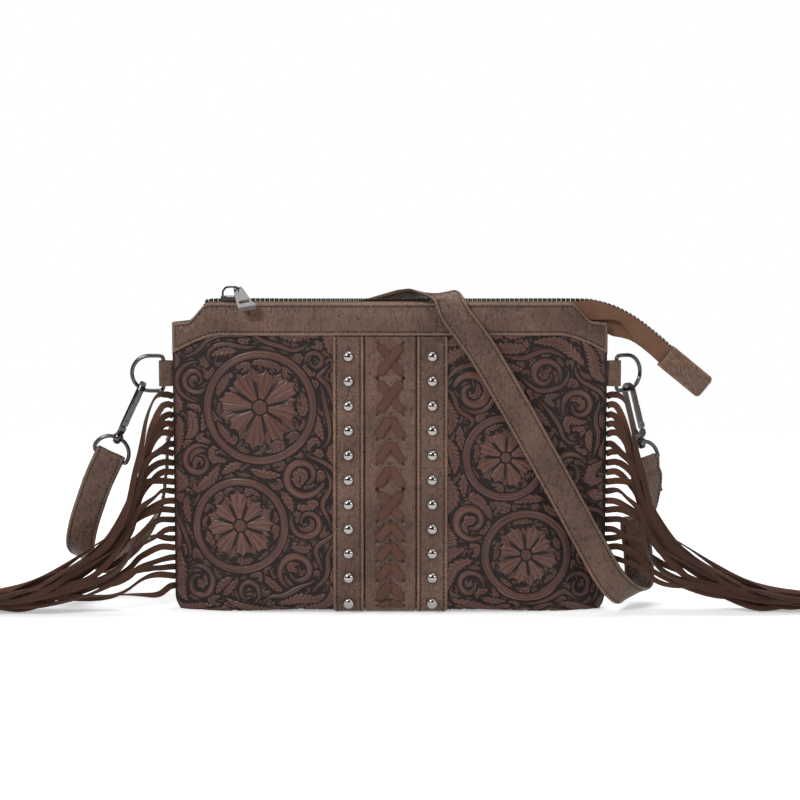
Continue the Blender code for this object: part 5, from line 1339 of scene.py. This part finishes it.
def strand_path(height, lane, reach, floor_z, length):
    out = reach + 0.010 * smooth((0.130 - height) / 0.060)
    points = [
        (0.0, 0.0, height),
        (0.45 * out, 0.0, height + 0.0008),
        (out, 0.0, 0.90 * height),
        (out + 0.006, 0.0, 0.68 * height + 0.002),
        (out + 0.019, 0.0, 0.42 * height + 0.004),
        (0.066, 0.0, 0.17 * height + 0.007),
        (0.110, 0.0, 0.05 * height + 0.004),
        (0.160, 0.0, 0.015 * height + floor_z),
        (0.235, 0.0, floor_z),
    ]
    fine = curve_through(points, 0.004)
    fine[:, 2] = np.maximum(fine[:, 2], floor_z)
    fine[:, 1] = lane * smooth(fine[:, 0] / LANE_RUN)
    return resampled(fine, length * np.linspace(0, 1, 70) ** 1.15)


def make_fringe(label, sign, stop, lane_middle, reach):
    top = HEIGHT - FRINGE_DROP
    count = int((top - stop) // STRAND_PITCH)
    root = sign * (HALF + 0.0002)
    lanes = sorted(range(count), key=lambda strand: strand * 0.618 % 1)
    for index in range(count):
        middle = top - (index + 0.5) * STRAND_PITCH
        lane = lane_middle + (lanes.index(index) - (count - 1) / 2) * LANE_PITCH
        floor_z = STRAND_WIDTH / 2 + 0.0004 + 0.0009 * ((index * 5) % 7)
        path = strand_path(middle, lane, reach, floor_z, STRAND_LENGTH * (1 + 0.02 * np.sin(2.4 * index)))
        share = np.linspace(0, 1, len(path))[:, None]
        loose = smooth(share / 0.15)
        sway = 0.0032 * np.sin(2.1 * index + 7.5 * share) + 0.0014 * np.sin(3.3 * index + 19 * share)
        path = path + loose * sway * np.array([0.35, 0, 1.0])
        turn = loose * (1.0 * np.sin(1.7 * index + 6.0 * share) + 0.5 * np.sin(2.9 * index + 14 * share))
        tangent = unit(np.gradient(path, axis=0))
        upright = unit(np.stack([-tangent[:, 2], 0 * tangent[:, 0], tangent[:, 0]], 1))
        broad = np.cos(turn) * upright + np.sin(turn) * np.array([0, 1, 0])
        thin = np.cross(tangent, broad)
        ring = np.linspace(0, 2 * np.pi, 12, endpoint=False)
        slim = 0.86 * (1 - 0.75 * smooth((share - 0.90) / 0.10))
        wide = (np.sign(np.cos(ring)) * np.abs(np.cos(ring)) ** 0.5) * slim * STRAND_WIDTH / 2
        cup = 0.0006 * loose * np.sin(index + 5 * share) * np.cos(ring) ** 2
        deep = np.sin(ring) * STRAND_THICKNESS / 2 + cup
        points = path[:, None] + broad[:, None] * wide[..., None] + thin[:, None] * deep[..., None]
        points[..., 2] = np.maximum(points[..., 2], 0.0003)
        points[..., 0] = root + sign * points[..., 0]
        ends = points[-1:].mean(1, keepdims=True).repeat(12, 1)
        points = np.concatenate([points, ends])
        edge = np.abs(np.cos(ring)) ** 3 * np.ones((len(points), 1))
        fields = {"strand": np.full(points.shape[:2], (index * 0.618) % 1.0), "edge": edge}
        piece = grid_piece(f"strand_{label}_{index:02d}", points, fields, closed=True)
        dress(piece, fringe_suede, "suede", "root", f"fringe_{label}")
    low, high = top - count * STRAND_PITCH, top
    half = HEADER_THICKNESS / 2
    inner = sign * (HALF - HEADER_DEPTH)
    corners = [(x, y, z) for x in (inner, root) for y in (-half, half) for z in (low, high)]
    faces = [(0, 1, 3, 2), (4, 6, 7, 5), (0, 4, 5, 1), (2, 3, 7, 6), (0, 2, 6, 4), (1, 5, 7, 3)]
    header = solid_mesh(f"fringe_header_{label}", corners, faces)
    dress(header, fringe_suede, "suede", "root", f"fringe_{label}")


make_fringe("left", -1, 0.0080, -0.0152, 0.013)
make_fringe("right", 1, 0.0280, -0.0122, 0.012)

# Floor and light: a pale plain sweep under soft boxes, so the bag stands on white.
# The light that falls on the bag is weaker than the white that the camera sees behind it.
FLOOR_GLOW = 0.40
SKY_LEVEL = 0.30
ROOM_LEVEL = 0.05
floor_mesh = bpy.data.meshes.new("floor")
floor_mesh.from_pydata([(-6, -4, 0), (6, -4, 0), (6, 8, 0), (-6, 8, 0)], [], [(0, 1, 2, 3)])
floor = bpy.data.objects.new("floor", floor_mesh)
bpy.context.collection.objects.link(floor)
floor_paint, floor_shader, floor_place = start("floor paint", roughness=0.95, specular=0.0)


def seen_rays(tree):
    """1 for what the camera, metal and glass see, and 0 for the light that falls on the bag."""
    rays = tree.nodes.new("ShaderNodeLightPath")
    kinds = ("Camera", "Glossy", "Transmission")
    camera_ray, glossy, through = (Tone(rays.outputs[f"Is {kind} Ray"]) for kind in kinds)
    return camera_ray.math("MAXIMUM", camera_ray.math("MAXIMUM", camera_ray, glossy), through)


far = floor_place.node("VectorMath", {"operation": "LENGTH"}, {0: floor_place}, out=1).clear(0.45, 1.1)
tree = floor_paint.node_tree
floor_seen = seen_rays(tree)
pale = floor_place.noise(3).colour((0.88, 0.88, 0.88), (0.90, 0.90, 0.90))
finish(floor_shader, colour=pale, glow=floor_seen.colour((0, 0, 0), (1, 1, 1)))
floor_shader.inputs["Emission Strength"].default_value = FLOOR_GLOW
white = tree.nodes.new("ShaderNodeEmission")
blend = tree.nodes.new("ShaderNodeMixShader")
tree.links.new((far * floor_seen).socket, blend.inputs[0])
tree.links.new(floor_shader.outputs[0], blend.inputs[1])
tree.links.new(white.outputs[0], blend.inputs[2])
tree.links.new(blend.outputs[0], tree.nodes["Material Output"].inputs["Surface"])
floor.data.materials.append(floor_paint)

world = bpy.data.worlds.new("studio")
bpy.context.scene.world = world
world.use_nodes = True
backdrop = world.node_tree.nodes["Background"]
rays = world.node_tree.nodes.new("ShaderNodeLightPath")
shown = Tone(rays.outputs["Is Camera Ray"])
shown = shown.math("MAXIMUM", shown, Tone(rays.outputs["Is Transmission Ray"]))
glossy = Tone(rays.outputs["Is Glossy Ray"])
# Metal and glossy leather see white boards above and at both sides, with the dark room between them.
way = glossy.node("TexCoord", out=0)
sideways, upwards = (way.node("SeparateXYZ", values={0: way}, out=axis) for axis in (0, 2))
boards = way.math("MAXIMUM", upwards.clear(0.55, 0.80), way.math("ABSOLUTE", sideways).clear(0.72, 0.92))
mirrored = ROOM_LEVEL + boards * (1 - ROOM_LEVEL)
level = (1 - glossy) * SKY_LEVEL + glossy * mirrored
level = (1 - shown) * level + shown
world.node_tree.links.new(level.socket, backdrop.inputs["Strength"])
backdrop.inputs["Color"].default_value = (1, 1, 1, 1)


def soft_box(name, place, aim, size, power):
    light = bpy.data.lights.new(name, "AREA")
    light.shape = "RECTANGLE"
    light.size, light.size_y = size
    light.energy = power
    item = bpy.data.objects.new(name, light)
    item.location = place
    item.rotation_euler = (Vector(aim) - Vector(place)).to_track_quat("-Z", "Y").to_euler()
    bpy.context.collection.objects.link(item)


soft_box("key", (-0.75, -1.15, 0.95), (0, 0, 0.08), (0.40, 0.30), 14)
soft_box("fill", (1.1, -1.2, 0.6), (0, 0, 0.08), (0.45, 0.45), 4.5)
soft_box("top", (0.1, 0.2, 1.4), (0, 0, 0.1), (1.0, 0.5), 12)
